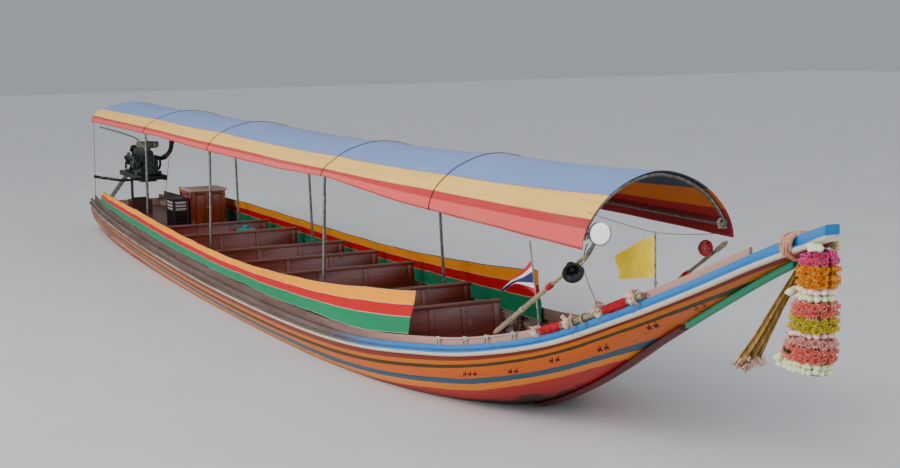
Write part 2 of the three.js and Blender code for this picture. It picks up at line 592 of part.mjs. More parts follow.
// Engine swivel: a pedestal on the aft deck, a yoke that turns on it, and the tilting engine
add('pedestal', box(SWIVEL_X - 120, SWIVEL_X + 120, -130, 130, onDeck, 420), VARNISH);
const CHEEK = { y: 92, thickness: 14, height: 294 };
const cheekOutside = CHEEK.y + CHEEK.thickness;
const yokeProfile = new THREE.Shape([[-cheekOutside, 0], [cheekOutside, 0], [cheekOutside, CHEEK.height],
  [CHEEK.y, CHEEK.height], [CHEEK.y, 24], [-CHEEK.y, 24], [-CHEEK.y, CHEEK.height],
  [-cheekOutside, CHEEK.height]].map(([y, z]) => new THREE.Vector2(y, z)));
add('yoke', new THREE.ExtrudeGeometry(yokeProfile, { depth: 100, bevelEnabled: false })
  .rotateX(rad(90)).rotateZ(rad(90)).translate(SWIVEL_X - 50, 0, 420 + GAP), DARK_STEEL);

// Engine frame: two rails with cross members, the lug that hangs on the tilt pin, and the pin
const railTop = RAIL.bottom + RAIL.height;
const rails = SIDES.map(({ sign }) => box(RAIL.aft, RAIL.fore, sign * RAIL.y - RAIL.width / 2,
  sign * RAIL.y + RAIL.width / 2, RAIL.bottom, railTop));
const CROSS_MEMBERS = [
  { from: RAIL.aft, to: RAIL.aft + 60, low: 0, high: 40 },
  { from: SWIVEL_X - 60, to: SWIVEL_X + 60, low: 8, high: 52 },
  { from: RAIL.fore - 60, to: RAIL.fore, low: 8, high: 52 },
];
const crossMembers = CROSS_MEMBERS.map(({ from, to, low, high }) =>
  box(from, to, -RAIL.y, RAIL.y, RAIL.bottom + low, RAIL.bottom + high));
const lug = box(SWIVEL_X - 45, SWIVEL_X + 45, -86, 86, PIN_Z - 30, RAIL.bottom + 20);
const pinReach = CHEEK.y - GAP;
const pin = bar([[SWIVEL_X, -pinReach, PIN_Z], [SWIVEL_X, pinReach, PIN_Z]], 14, { straight: true });
add('engine_frame', weld(...rails, ...crossMembers, lug, pin), DARK_STEEL);

// Tail line: geometry drawn along +X with +Z up is laid along it, from a distance behind the neck
const tailDirection = new THREE.Vector3(-Math.cos(rad(TAIL.slope)), 0, -Math.sin(rad(TAIL.slope)));
const tailUp = new THREE.Vector3(-Math.sin(rad(TAIL.slope)), 0, Math.cos(rad(TAIL.slope)));
const onTail = (distance) => [TAIL.x + tailDirection.x * distance, 0, TAIL.z + tailDirection.z * distance];
function alongTail(geometry, distance) {
  const frame = new THREE.Matrix4().makeBasis(tailDirection, new THREE.Vector3(0, -1, 0), tailUp);
  return geometry.applyMatrix4(frame).translate(...onTail(distance));
}

// Engine: its castings stand on the rails. Half is the half width; low and high are heights.
const CASTINGS = [
  { from: BLOCK.aft, to: BLOCK.fore, half: 108, low: railTop + GAP, high: 950 },
  { from: BLOCK.aft + 12, to: BLOCK.fore - 12, half: 92, low: 940, high: 1024 },
  { from: 880, to: 1330, half: 98, low: 688, high: 800 },
  { from: BLOCK.fore - 5, to: BLOCK.fore + 38, half: 96, low: 800, high: 1000 },
  { from: 690, to: 770, half: 162, low: railTop + GAP, high: 815 },
  { from: 1270, to: 1350, half: 162, low: railTop + GAP, high: 815 },
];
const COVER = { half: 60, base: 1012, shoulder: 1062, top: 1090, flat: 38 };
const coverProfile = new THREE.Shape([[-COVER.half, COVER.base], [COVER.half, COVER.base],
  [COVER.half, COVER.shoulder], [COVER.flat, COVER.top], [-COVER.flat, COVER.top],
  [-COVER.half, COVER.shoulder]].map(([y, z]) => new THREE.Vector2(y, z)));
const rockerCover = new THREE.ExtrudeGeometry(coverProfile, { depth: 690, bevelEnabled: false })
  .rotateX(rad(90)).rotateZ(rad(90)).translate(BLOCK.aft + 35, 0, 0);
const neck = TAIL.radius + 18;
const bellHousing = turned([[0, 0], [neck, 0], [neck, 22], [neck + 24, 60], [108, 150], [108, 215], [0, 215]],
  onTail(-TAIL.neck), tailDirection.clone().negate().toArray(), 20);
// Pulleys on the front of the engine: radius, height of the centre and offset to the side
const PULLEYS = [
  { radius: 74, z: 866, y: 0 },
  { radius: 58, z: 978, y: 0 },
];
const pulleys = PULLEYS.map(({ radius, z, y }) => turned([[0, 0], [radius * 0.4, 0], [radius * 0.4, 12],
  [radius, 14], [radius - 8, 24], [radius, 34], [radius * 0.5, 36], [0, 36]], [BLOCK.fore + 36, y, z], [1, 0, 0], 18));
const ALTERNATOR = { x: 1304, y: -172, z: 925, radius: 62, length: 178 };
const alternator = turned([[0, 0], [ALTERNATOR.radius - 10, 0], [ALTERNATOR.radius, 14], [ALTERNATOR.radius, 120],
  [ALTERNATOR.radius - 14, 132], [20, 132], [20, 142], [36, 144], [30, 156], [36, 168], [20, 170],
  [0, ALTERNATOR.length]], [ALTERNATOR.x, ALTERNATOR.y, ALTERNATOR.z], [1, 0, 0], 16);
const alternatorArm = box(1290, 1340, -130, -100, 880, 945);
const INTAKE = { y: -128, z: 985, radius: 30 };
const intakeLog = bar([[740, INTAKE.y, INTAKE.z], [1230, INTAKE.y, INTAKE.z]], INTAKE.radius, { straight: true });
const intakePorts = [780, 950, 1120].map((x) => box(x - 20, x + 20, INTAKE.y, -88, INTAKE.z - 18, INTAKE.z + 18));
add('engine_block', weld(...CASTINGS.map(({ from, to, half, low, high }) => box(from, to, -half, half, low, high)),
  rockerCover, bellHousing, ...pulleys, alternatorArm, alternator, intakeLog, ...intakePorts), ENGINE_GREEN);

// Air cleaner: a round pan on a short throat, standing on the rocker cover towards the front
add('air_cleaner', turned([[0, 0], [34, 0], [34, 26], [118, 34], [138, 46], [142, 62], [142, 98], [132, 110],
  [30, 118], [16, 134], [0, 134]], [1330, 0, COVER.top + GAP], [0, 0, 1], 24), KHAKI);

// Exhaust: short pipes out of the head into a log that runs forward and turns up
const EXHAUST = { y: 178, z: 975, radius: 29 };
const exhaustLog = bar([[700, EXHAUST.y, EXHAUST.z], [1000, EXHAUST.y, EXHAUST.z], [1290, EXHAUST.y, EXHAUST.z + 4],
  [1440, EXHAUST.y + 20, EXHAUST.z + 40], [1530, EXHAUST.y + 60, EXHAUST.z + 120],
  [1560, EXHAUST.y + 80, 1225]], EXHAUST.radius, { steps: 18, sides: 10 });
const exhaustPorts = [745, 905, 1065, 1225].map((x) => bar([[x, 92 + GAP, EXHAUST.z], [x, EXHAUST.y, EXHAUST.z]], 21,
  { straight: true }));
add('exhaust', weld(exhaustLog, ...exhaustPorts), DARK_STEEL);
add('tiller', bar([[1590, -RAIL.y - RAIL.width / 2 - 1, 755], [1590, -240, 752], [1570, -400, 746],
  [1535, -570, 775], [1500, -735, 812]], 15, { steps: 16 }), DARK_STEEL);

// Tail: the long tube from the bell housing down to its end bearing, with a skeg under the end
const tailBar = bar([onTail(GAP - TAIL.neck), onTail(TAIL.length)], TAIL.radius, { sides: 12, straight: true });
const endBearing = turned([[0, 0], [TAIL.radius + 2, 0], [TAIL.radius + 13, 24], [TAIL.radius + 13, 130],
  [TAIL.radius + 4, 150], [0, 150]], onTail(TAIL.length - 150), tailDirection.toArray(), 16);
const neckCollar = turned([[0, 0], [TAIL.radius + 12, 0], [TAIL.radius + 12, 60], [0, 60]],
  onTail(GAP - TAIL.neck), tailDirection.toArray(), 16);
const skegProfile = new THREE.Shape([[0, -20], [150, -20], [210, -190], [150, -205]].map(
  ([along, up]) => new THREE.Vector2(along, up)));
const skeg = new THREE.ExtrudeGeometry(skegProfile, { depth: 10, bevelEnabled: false })
  .rotateX(rad(90)).translate(0, 5, 0);
add('tail_tube', weld(tailBar, neckCollar, endBearing, alongTail(skeg, TAIL.length - 260)), STEEL);

// Propeller: twisted blades on a hub at the end of its shaft. Each row: radius, chord, thickness.
const BLADE_SECTIONS = [[20, 52, 16], [60, 96, 11], [100, 122, 9], [135, 108, 7], [158, 66, 5],
  [PROPELLER.radius, 26, 4]];
function blade(turn) {
  const rings = BLADE_SECTIONS.map(([radius, chord, thickness]) => {
    const pitch = Math.atan2(PROPELLER.pitch, 2 * Math.PI * radius);
    return [[-0.5, 0], [-0.25, -0.45], [0, -0.5], [0.25, -0.4], [0.5, 0], [0.25, 0.4], [0, 0.5], [-0.25, 0.45]].map(
      ([along, out]) => {
        const [a, b] = [along * chord, out * thickness];
        return [a * Math.sin(pitch) + b * Math.cos(pitch), a * Math.cos(pitch) - b * Math.sin(pitch), radius];
      });
  });
  return loft(rings, { axis: 'z' }).rotateX(rad(turn));
}
const hubProfile = [[0, GAP], [18, GAP], [18, PROPELLER.overhang - 50], [26, PROPELLER.overhang - 44],
  [PROPELLER.hub, PROPELLER.overhang - 30], [PROPELLER.hub, PROPELLER.overhang + 40],
  [20, PROPELLER.overhang + 70], [0, PROPELLER.overhang + 82]];
const hub = turned(hubProfile, onTail(TAIL.length), tailDirection.toArray(), 16);
const blades = stepsBetween(0, 360, PROPELLER.blades).slice(0, -1).map((turn) =>
  alongTail(blade(turn), TAIL.length + PROPELLER.overhang));
add('propeller', weld(hub, ...blades), BRONZE);

export default boat;
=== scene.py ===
# %% [markdown]
# A river longtail boat is long, narrow and low, with an upswept prow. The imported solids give
# every piece its place and its size, so they are loaded first and stay fixed. Pieces that
# need more form than the solids have are made here and stand in for them.

# %% Load the frame
import json
import math
import random

import bmesh
import bpy
import numpy as np
from mathutils import Matrix, Vector, noise

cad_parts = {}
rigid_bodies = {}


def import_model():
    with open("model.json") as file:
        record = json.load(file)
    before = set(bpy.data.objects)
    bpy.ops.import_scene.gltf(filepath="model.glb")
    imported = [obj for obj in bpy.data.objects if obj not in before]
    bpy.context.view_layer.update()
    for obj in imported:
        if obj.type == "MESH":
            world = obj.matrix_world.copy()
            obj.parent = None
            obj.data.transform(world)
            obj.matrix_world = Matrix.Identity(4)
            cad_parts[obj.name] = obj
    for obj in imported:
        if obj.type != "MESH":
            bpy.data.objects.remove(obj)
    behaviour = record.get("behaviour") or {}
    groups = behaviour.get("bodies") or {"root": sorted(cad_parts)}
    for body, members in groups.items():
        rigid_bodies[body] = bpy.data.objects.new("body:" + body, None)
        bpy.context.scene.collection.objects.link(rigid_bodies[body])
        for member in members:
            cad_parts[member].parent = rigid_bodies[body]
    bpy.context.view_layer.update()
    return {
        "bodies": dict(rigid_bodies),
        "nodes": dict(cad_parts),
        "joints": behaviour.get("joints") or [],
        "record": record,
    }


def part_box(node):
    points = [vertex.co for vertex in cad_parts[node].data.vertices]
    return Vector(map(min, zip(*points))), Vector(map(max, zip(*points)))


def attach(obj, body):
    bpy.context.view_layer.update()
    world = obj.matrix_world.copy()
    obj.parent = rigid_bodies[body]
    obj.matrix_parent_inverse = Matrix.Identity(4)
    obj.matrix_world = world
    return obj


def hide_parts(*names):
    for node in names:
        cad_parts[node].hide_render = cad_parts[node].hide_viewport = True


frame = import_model()
nodes = frame["nodes"]

# %% [markdown]
# The camera stands low off the starboard bow and looks aft along the boat. Its place and its
# three angles come from matching the solids to the picture, and a matrix of right, up and
# back directions sets all three angles at once.

# %% Camera
CAMERA_PLACE = Vector((20.272, -4.675, 2.404))
YAW, PITCH, ROLL = (math.radians(angle) for angle in (64.815, 7.334, -1.093))
look = Vector((-math.sin(YAW) * math.cos(PITCH), math.cos(YAW) * math.cos(PITCH), -math.sin(PITCH)))
level = Vector((math.cos(YAW), math.sin(YAW), 0))
above = level.cross(look)
camera_right = math.cos(ROLL) * level + math.sin(ROLL) * above
camera_up = math.cos(ROLL) * above - math.sin(ROLL) * level
camera_data = bpy.data.cameras.new("photo_camera")
camera_data.sensor_fit = "HORIZONTAL"
camera_data.sensor_width = 36
camera_data.lens = 60.07
camera_data.clip_end = 500
camera = bpy.data.objects.new("photo_camera", camera_data)
turn = Matrix((camera_right, camera_up, -look)).transposed().to_4x4()
camera.matrix_world = Matrix.Translation(CAMERA_PLACE) @ turn
bpy.context.scene.collection.objects.link(camera)
bpy.context.scene.camera = camera
print("camera distance to the bow:", round((CAMERA_PLACE - Vector((14.6, 0, 1.4))).length, 2))

# %% [markdown]
# A material in Blender is a tree of nodes. These helpers add a node, set or link its inputs
# and hand back a socket, so that each finish further down reads as a short recipe.

# %% Helpers for finishes
def linear(code):
    """A colour from its hex code, in the linear light that shaders use."""
    parts = [int(code[index:index + 2], 16) / 255 for index in (0, 2, 4)]
    return tuple(p / 12.92 if p <= 0.04045 else ((p + 0.055) / 1.055) ** 2.4 for p in parts) + (1.0,)


def plug(tree, socket, value):
    if isinstance(value, bpy.types.NodeSocket):
        tree.links.new(value, socket)
    elif isinstance(value, str):
        socket.default_value = linear(value)
    else:
        socket.default_value = value


def add_node(tree, kind, inputs=None, **settings):
    made = tree.nodes.new(kind)
    for key, value in settings.items():
        setattr(made, key, value)
    for key, value in (inputs or {}).items():
        plug(tree, made.inputs[key], value)
    return made


def new_finish(name, roughness=0.6, metallic=0.0, specular=0.5):
    material = bpy.data.materials.new(name)
    material.use_nodes = True
    tree = material.node_tree
    shader = tree.nodes["Principled BSDF"]
    shader.inputs["Roughness"].default_value = roughness
    shader.inputs["Metallic"].default_value = metallic
    shader.inputs["Specular IOR Level"].default_value = specular
    return material, tree, shader


def calc(tree, operation, first, second=0.0):
    made = tree.nodes.new("ShaderNodeMath")
    made.operation = operation
    plug(tree, made.inputs[0], first)
    plug(tree, made.inputs[1], second)
    return made.outputs[0]


def mixed(tree, share, first, second, how="MIX"):
    made = tree.nodes.new("ShaderNodeMix")
    made.data_type = "RGBA"
    made.blend_type = how
    plug(tree, made.inputs[0], share)
    plug(tree, made.inputs[6], first)
    plug(tree, made.inputs[7], second)
    return made.outputs[2]


def ramp(tree, place, stops, steps=False):
    made = tree.nodes.new("ShaderNodeValToRGB")
    made.color_ramp.interpolation = "CONSTANT" if steps else "LINEAR"
    points = made.color_ramp.elements
    while len(points) < len(stops):
        points.new(0.5)
    for point, (position, colour) in zip(points, stops):
        point.position = position
        point.color = linear(colour) if isinstance(colour, str) else (colour, colour, colour, 1.0)
    plug(tree, made.inputs[0], place)
    return made.outputs[0]


def object_place(tree, stretch=(1, 1, 1)):
    """The place on the piece in metres, squeezed or stretched along each axis."""
    coordinates = add_node(tree, "ShaderNodeTexCoord").outputs["Object"]
    return add_node(tree, "ShaderNodeMapping", {"Vector": coordinates, "Scale": stretch}).outputs[0]


def strip_place(tree):
    """The two numbers that a long piece carries along and across itself."""
    made = add_node(tree, "ShaderNodeUVMap", uv_map="strip").outputs[0]
    apart = add_node(tree, "ShaderNodeSeparateXYZ", {0: made})
    return apart.outputs[0], apart.outputs[1]


def height_of(tree):
    coordinates = add_node(tree, "ShaderNodeTexCoord").outputs["Object"]
    return add_node(tree, "ShaderNodeSeparateXYZ", {0: coordinates})


def speckle(tree, place, scale, detail=4.0, roughness=0.55):
    made = add_node(tree, "ShaderNodeTexNoise",
                    {"Vector": place, "Scale": scale, "Detail": detail, "Roughness": roughness})
    return made.outputs[0]


def relief(tree, shader, height, distance, strength=1.0):
    made = add_node(tree, "ShaderNodeBump",
                    {"Height": height, "Distance": distance, "Strength": strength})
    tree.links.new(made.outputs[0], shader.inputs["Normal"])


# %% [markdown]
# The stage is a pale floor at the waterline and soft light from large lamps. The floor has an
# opening the shape of the hull at the waterline, so that it does not show inside the boat.
# The hull form comes first, because the opening needs it.

# %% Hull form
STATIONS = np.array([
    (0, .480, .345, -.060, .70), (1.5, .640, .308, -.130, .68), (4, .776, .256, -.185, .66),
    (7, .855, .224, -.200, .66), (9.5, .846, .244, -.190, .70), (10.5, .795, .290, -.150, .78),
    (11.2, .708, .362, -.085, .86), (11.82, .592, .447, .053, .95), (12.5, .410, .608, .335, 1.05),
    (13.13, .262, .845, .680, 1.10), (13.67, .165, 1.068, .965, 1.10), (14.22, .098, 1.300, 1.240, 1.10),
    (14.62, .045, 1.450, 1.412, 1.10)])
COLUMNS = {"half_beam": 1, "gunwale": 2, "keel": 3, "bilge": 4}
PLANK = 0.030
BILGE_ANGLE = math.radians(40)
HEAD_START = 13.55
PROW_TIP = 14.62


def smooth_line(points, count):
    """Points along a centripetal Catmull-Rom curve through the given ones."""
    points = np.array(points, float)
    ends = np.vstack([2 * points[0] - points[1], points, 2 * points[-1] - points[-2]])
    line = []
    for place in np.linspace(0, len(points) - 1, count + 1):
        span = min(int(place), len(points) - 2)
        share = place - span
        before, start, end, after = ends[span:span + 4]
        gaps = [np.linalg.norm(b - a) ** 0.5 for a, b in ((before, start), (start, end), (end, after))]
        leave = (start - before) / gaps[0] - (end - before) / (gaps[0] + gaps[1]) + (end - start) / gaps[1]
        arrive = (end - start) / gaps[1] - (after - start) / (gaps[1] + gaps[2]) + (after - end) / gaps[2]
        leave, arrive = leave * gaps[1], arrive * gaps[1]
        line.append(start + leave * share + (3 * end - 3 * start - 2 * leave - arrive) * share ** 2
                    + (2 * start - 2 * end + leave + arrive) * share ** 3)
    return np.array(line)


TRACKS = {name: smooth_line(STATIONS[:, (0, column)], 360) for name, column in COLUMNS.items()}


# Heights of the boards above the gunwale: lowest where the sheer starts to rise
TRACKS["washboard"] = smooth_line([(0, .050), (7, .049), (9.5, .042), (11.2, .035), (12, .037),
                                   (12.8, .044), (14, .046), (14.62, .052)], 120)
TRACKS["coaming"] = smooth_line([(0, .118), (7, .118), (9, .110), (10.8, .085), (12, .085), (12.8, .093),
                                 (14.62, .092)], 120)


def hull(name, x):
    return float(np.interp(x, TRACKS[name][:, 0], TRACKS[name][:, 1]))


def skin_at_angle(x, angle, inset=0.0):
    """A point of the planking. The angle is 0 at the keel, minus to starboard, plus to port."""
    bilge = hull("bilge", x)
    depth = hull("gunwale", x) - hull("keel", x) - inset
    out = (hull("half_beam", x) - inset) * abs(math.sin(angle)) ** bilge
    return (x, math.copysign(out, angle), hull("gunwale", x) - depth * max(0.0, math.cos(angle)) ** bilge)


def skin_at_depth(x, share, side, inset=0.0):
    """A point of the planking by its share of the depth, 0 at the gunwale and 1 at the keel."""
    angle = math.acos(min(1.0, share ** (1 / hull("bilge", x))))
    return skin_at_angle(x, side * angle, inset)


HULL_XS = np.concatenate([np.arange(0, 10.5, 0.15), np.arange(10.5, HEAD_START - 0.01, 0.075),
                          [HEAD_START]])
print("hull stations:", len(HULL_XS), "beam:", round(2 * max(hull("half_beam", x) for x in HULL_XS), 3))


# %% Floor with the opening of the hull
def waterline_half(x):
    depth = hull("gunwale", x) - hull("keel", x)
    share = hull("gunwale", x) / depth
    return 0.0 if share >= 1 else abs(skin_at_depth(x, share, 1)[1]) - 0.012


def make_floor():
    far = 60.0
    xs = [0.01, *[x for x in HULL_XS if 0.05 < x < 11.55], 11.6]
    verts, faces = [], []
    for x in xs:
        half = max(0.0, waterline_half(x))
        verts += [(x, -far, 0), (x, -half, 0), (x, half, 0), (x, far, 0)]
    for row in range(len(xs) - 1):
        for column in (0, 2):
            a, b = row * 4 + column, (row + 1) * 4 + column
            faces.append((a, b, b + 1, a + 1))
    for x, row in ((-far, 0), (xs[-1] + far, len(xs) - 1)):
        first = len(verts)
        verts += [(x, -far, 0), (x, far, 0)]
        inner = [row * 4 + column for column in range(4)]
        faces.append((first, *inner, first + 1) if row else (first + 1, *reversed(inner), first))
    mesh = bpy.data.meshes.new("floor")
    mesh.from_pydata(verts, [], faces)
    return bpy.data.objects.new("floor", mesh)


floor = make_floor()
bpy.context.scene.collection.objects.link(floor)
floor_finish, tree, shader = new_finish("pale_floor", roughness=0.75)
floor_grain = speckle(tree, object_place(tree), 1.2)
tree.links.new(ramp(tree, floor_grain, [(0.3, "cfd1d3"), (0.7, "d6d7d9")]), shader.inputs["Base Color"])
floor.data.materials.append(floor_finish)

# %% Soft light
world = bpy.data.worlds.new("studio")
bpy.context.scene.world = world
world.use_nodes = True
world.node_tree.nodes["Background"].inputs[0].default_value = (0.82, 0.87, 0.94, 1)
world.node_tree.nodes["Background"].inputs[1].default_value = 0.42


def soft_lamp(name, place, target, size, power, colour):
    data = bpy.data.lights.new(name, "AREA")
    data.shape = "DISK"
    data.size = size
    data.energy = power
    data.color = colour
    lamp = bpy.data.objects.new(name, data)
    lamp.location = place
    lamp.rotation_euler = (Vector(target) - Vector(place)).to_track_quat("-Z", "Y").to_euler()
    bpy.context.scene.collection.objects.link(lamp)


soft_lamp("key_light", (13, -14, 13), (7, 0, 0), 9, 1400, (1.0, 0.97, 0.93))
soft_lamp("fill_light", (22, 6, 7), (8, 0, 1), 9, 500, (0.92, 0.96, 1.0))
soft_lamp("low_light", (9.0, -14, 2.2), (7.5, 0.8, 0.5), 8, 900, (1.0, 0.97, 0.94))
even = bpy.data.lights.new("even_light", "SUN")
even.energy = 1.2
even.angle = math.radians(70)
even_lamp = bpy.data.objects.new("even_light", even)
even_lamp.rotation_euler = (Vector((7, 0, 0)) - Vector((15, -20, 26))).to_track_quat("-Z", "Y").to_euler()
bpy.context.scene.collection.objects.link(even_lamp)

# %% [markdown]
# Most pieces of a boat are long and bent: planks, pipes, cloth. Each is made from rings or
# grids of points in mesh code. These helpers turn such points into a mesh, give it its
# finish, and let it ride on a body of the frame.

# %% Helpers for pieces
def grid_faces(rows, columns, start=0, closed=False):
    faces = []
    for row in range(rows - 1):
        for column in range(columns if closed else columns - 1):
            beside = (column + 1) % columns
            a, b = start + row * columns, start + (row + 1) * columns
            faces.append((a + column, a + beside, b + beside, b + column))
    return faces


def loft(rings):
    """A solid through rings of points, closed around and at both ends."""
    rings = np.array(rings, float)
    rows, columns = rings.shape[:2]
    faces = grid_faces(rows, columns, closed=True)
    last = (rows - 1) * columns
    faces += [tuple(reversed(range(columns))), tuple(range(last, last + columns))]
    return rings.reshape(-1, 3), faces


def shell(outer, inner):
    """A thin skin: a grid of points and the grid behind it, joined along all four edges."""
    rows, columns = np.shape(outer)[:2]
    count = rows * columns
    front = grid_faces(rows, columns)
    back = [tuple(reversed([corner + count for corner in face])) for face in front]
    rim = [row * columns for row in range(rows)]
    rim += [(rows - 1) * columns + column for column in range(1, columns)]
    rim += [row * columns + columns - 1 for row in range(rows - 2, -1, -1)]
    rim += list(range(columns - 2, 0, -1))
    edge = [(a, b, b + count, a + count) for a, b in zip(rim, rim[1:] + rim[:1])]
    vertices = np.concatenate([np.reshape(outer, (-1, 3)), np.reshape(inner, (-1, 3))])
    return vertices, front + back + edge, [0] * len(front) + [1] * len(back) + [2] * len(edge)


def tube(points, radius, sides=12):
    """A round bar along points. The radius is one number, or one for each point."""
    points = np.array(points, float)
    radii = np.broadcast_to(radius, len(points))
    ahead = np.gradient(points, axis=0)
    ahead /= np.linalg.norm(ahead, axis=1)[:, None]
    side = np.cross(ahead[0], (0.0, 0.0, 1.0) if abs(ahead[0][2]) < 0.9 else (0.0, 1.0, 0.0))
    rings = []
    for place, direction, size in zip(points, ahead, radii):
        side = side - direction * np.dot(side, direction)
        side /= np.linalg.norm(side)
        up = np.cross(side, direction)
        turns = np.linspace(0, 2 * math.pi, sides, endpoint=False)
        rings.append([place + size * (math.cos(t) * side + math.sin(t) * up) for t in turns])
    return loft(rings)


def lathe(profile, base, direction, sides=32):
    """A turned piece: profile rows are (radius, distance along the axis)."""
    axis = Vector(direction).normalized()
    spin = Vector((0, 0, 1)).rotation_difference(axis).to_matrix()
    rings = []
    for radius, along in profile:
        turns = [2 * math.pi * index / sides for index in range(sides)]
        rings.append([tuple(Vector(base) + spin @ Vector((max(radius, 1e-4) * math.cos(t),
                      max(radius, 1e-4) * math.sin(t), along))) for t in turns])
    return loft(rings)


def block(low, high, turn_about=None, angle=0.0, axis="Z"):
    """The eight corners and six faces of a board, turned about a point if one is given."""
    corners = [Vector((x, y, z)) for x in (low[0], high[0]) for y in (low[1], high[1])
               for z in (low[2], high[2])]
    if turn_about is not None:
        spin = Matrix.Rotation(angle, 3, axis)
        corners = [Vector(turn_about) + spin @ (corner - Vector(turn_about)) for corner in corners]
    faces = [(0, 1, 3, 2), (4, 6, 7, 5), (0, 4, 5, 1), (2, 3, 7, 6), (0, 2, 6, 4), (1, 5, 7, 3)]
    return [tuple(corner) for corner in corners], faces


def together(*parts):
    """Several sets of points and faces as one set."""
    vertices, faces = [], []
    for points, corners in parts:
        start = len(vertices)
        vertices += [tuple(point) for point in points]
        faces += [tuple(corner + start for corner in face) for face in corners]
    return vertices, faces


def make_piece(name, shape, finishes, body="boat", strip=None, face_finish=None,
               rounding=0.0, flat_under=38, replaces=(), tidy=True):
    """A mesh object from points and faces, with its finishes, riding on a body."""
    vertices, faces = shape[:2]
    mesh = bpy.data.meshes.new(name)
    mesh.from_pydata([tuple(map(float, vertex)) for vertex in vertices], [], faces)
    if strip is not None:
        layer = mesh.uv_layers.new(name="strip")
        corners = np.empty(len(mesh.loops), int)
        mesh.loops.foreach_get("vertex_index", corners)
        layer.data.foreach_set("uv", np.array(strip, float)[corners].ravel())
    for finish in finishes if isinstance(finishes, (list, tuple)) else [finishes]:
        mesh.materials.append(finish)
    if face_finish is not None:
        mesh.polygons.foreach_set("material_index", face_finish)
    if tidy or rounding:
        work = bmesh.new()
        work.from_mesh(mesh)
        if rounding:
            sharp = [edge for edge in work.edges if edge.calc_face_angle(0) > math.radians(30)]
            bmesh.ops.bevel(work, geom=sharp, offset=rounding, segments=2, profile=0.6, affect="EDGES",
                            clamp_overlap=True)
        bmesh.ops.recalc_face_normals(work, faces=work.faces)
        work.to_mesh(mesh)
        work.free()
    mesh.polygons.foreach_set("use_smooth", [True] * len(mesh.polygons))
    mesh.set_sharp_from_angle(angle=math.radians(flat_under))
    piece = bpy.data.objects.new(name, mesh)
    bpy.context.scene.collection.objects.link(piece)
    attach(piece, body)
    if replaces:
        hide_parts(*replaces)
    return piece


def dress(finish, *names):
    """Gives solids of the frame their finish."""
    for name in names:
        nodes[name].data.materials.clear()
        nodes[name].data.materials.append(finish)


# %% [markdown]
# The side of the boat carries painted bands that follow the gunwale: brown-red, ochre, olive,
# a broad orange field, slate blue, yellow, red and a dark bottom. Each point of the planking
# carries its place along the boat and a band number, and a stepped ramp turns the number
# into a colour. A little noise on the number gives the edge of a brush line.

# %% Bands of the hull
BANDS = [("white", "d6cfbf"), ("brown", "7c2004"), ("ochre", "c06600"), ("olive", "3a2c00"),
         ("orange", "cc5c00"), ("slate", "1b5064"), ("yellow", "e88400"), ("red", "b40000"),
         ("bottom", "4a0608")]
# Lower edge of each band but the last, in metres below the gunwale, at a few places along the boat
BAND_XS = (5.0, 9.0, 10.0, 11.2, 11.7, 12.2, 12.7, 13.3)
BAND_EDGES = {"white": (.036, .036, .036, .036, .036, .036, .036, .034),
              "brown": (.078, .078, .078, .073, .068, .060, .053, .050),
              "ochre": (.104, .105, .106, .104, .095, .084, .075, .072),
              "olive": (.128, .130, .132, .126, .113, .102, .091, .086),
              "orange": (.140, .152, .170, .192, .190, .177, .161, .158),
              "slate": (.170, .190, .213, .231, .231, .210, .187, .181),
              "yellow": (.210, .232, .260, .281, .277, .243, .211, .201),
              "red": (.30, .32, .34, .37, .345, .304, .252, .236)}


def band_number(x, depth):
    """0 to 9 down the side, from the edges of the bands at that place."""
    edges = [0.0, *[np.interp(x, BAND_XS, track) for track in BAND_EDGES.values()], 1.4]
    return float(np.interp(depth, edges, np.arange(len(BANDS) + 1)))


def wood_under(tree, place, light="7d6553", dark="4c392e"):
    """Bare, greyed timber with its grain along the boat."""
    grain = speckle(tree, place, 14, 6, 0.6)
    return ramp(tree, grain, [(0.3, dark), (0.62, light)])


def banded_paint(name, colours):
    material, tree, shader = new_finish(name, roughness=0.42, specular=0.25)
    along, band = strip_place(tree)
    place = object_place(tree)
    long_place = object_place(tree, (0.12, 1, 1))
    wobble = calc(tree, "MULTIPLY", calc(tree, "SUBTRACT", speckle(tree, place, 9), 0.5), 0.14)
    steps = [(index / len(colours), colour) for index, colour in enumerate(colours)]
    paint = ramp(tree, calc(tree, "DIVIDE", calc(tree, "ADD", band, wobble), len(colours)), steps,
                 steps=True)
    faded = mixed(tree, calc(tree, "MULTIPLY", speckle(tree, long_place, 5, 6), 0.12), paint, "6f5236")
    worn = ramp(tree, speckle(tree, object_place(tree, (0.35, 1, 1)), 26, 8, 0.68),
                [(0.60, 0.0), (0.66, 1.0)])
    aft = ramp(tree, calc(tree, "DIVIDE", along, 14.66), [(0.03, 1.0), (0.30, 0.12), (0.75, 0.0)])
    streaks = ramp(tree, speckle(tree, long_place, 11, 8, 0.7), [(0.42, 0.0), (0.62, 1.0)])
    loss = calc(tree, "MAXIMUM", calc(tree, "MULTIPLY", aft, streaks), calc(tree, "MULTIPLY", worn, 0.55))
    painted = mixed(tree, loss, faded, wood_under(tree, object_place(tree, (0.15, 2, 2))))
    height = height_of(tree).outputs[2]
    damp = ramp(tree, calc(tree, "ADD", height, calc(tree, "MULTIPLY", wobble, 0.25)),
                [(0.0, 1.0), (0.05, 0.0)])
    colour = mixed(tree, calc(tree, "MULTIPLY", damp, 0.62), painted, "2a2117")
    tree.links.new(colour, shader.inputs["Base Color"])
    rough = calc(tree, "ADD", 0.34, calc(tree, "MULTIPLY", loss, 0.4))
    tree.links.new(rough, shader.inputs["Roughness"])
    relief(tree, shader, calc(tree, "ADD", calc(tree, "MULTIPLY", speckle(tree, long_place, 60, 5), 0.6),
                              calc(tree, "MULTIPLY", loss, -0.5)), 0.0022)
    return material


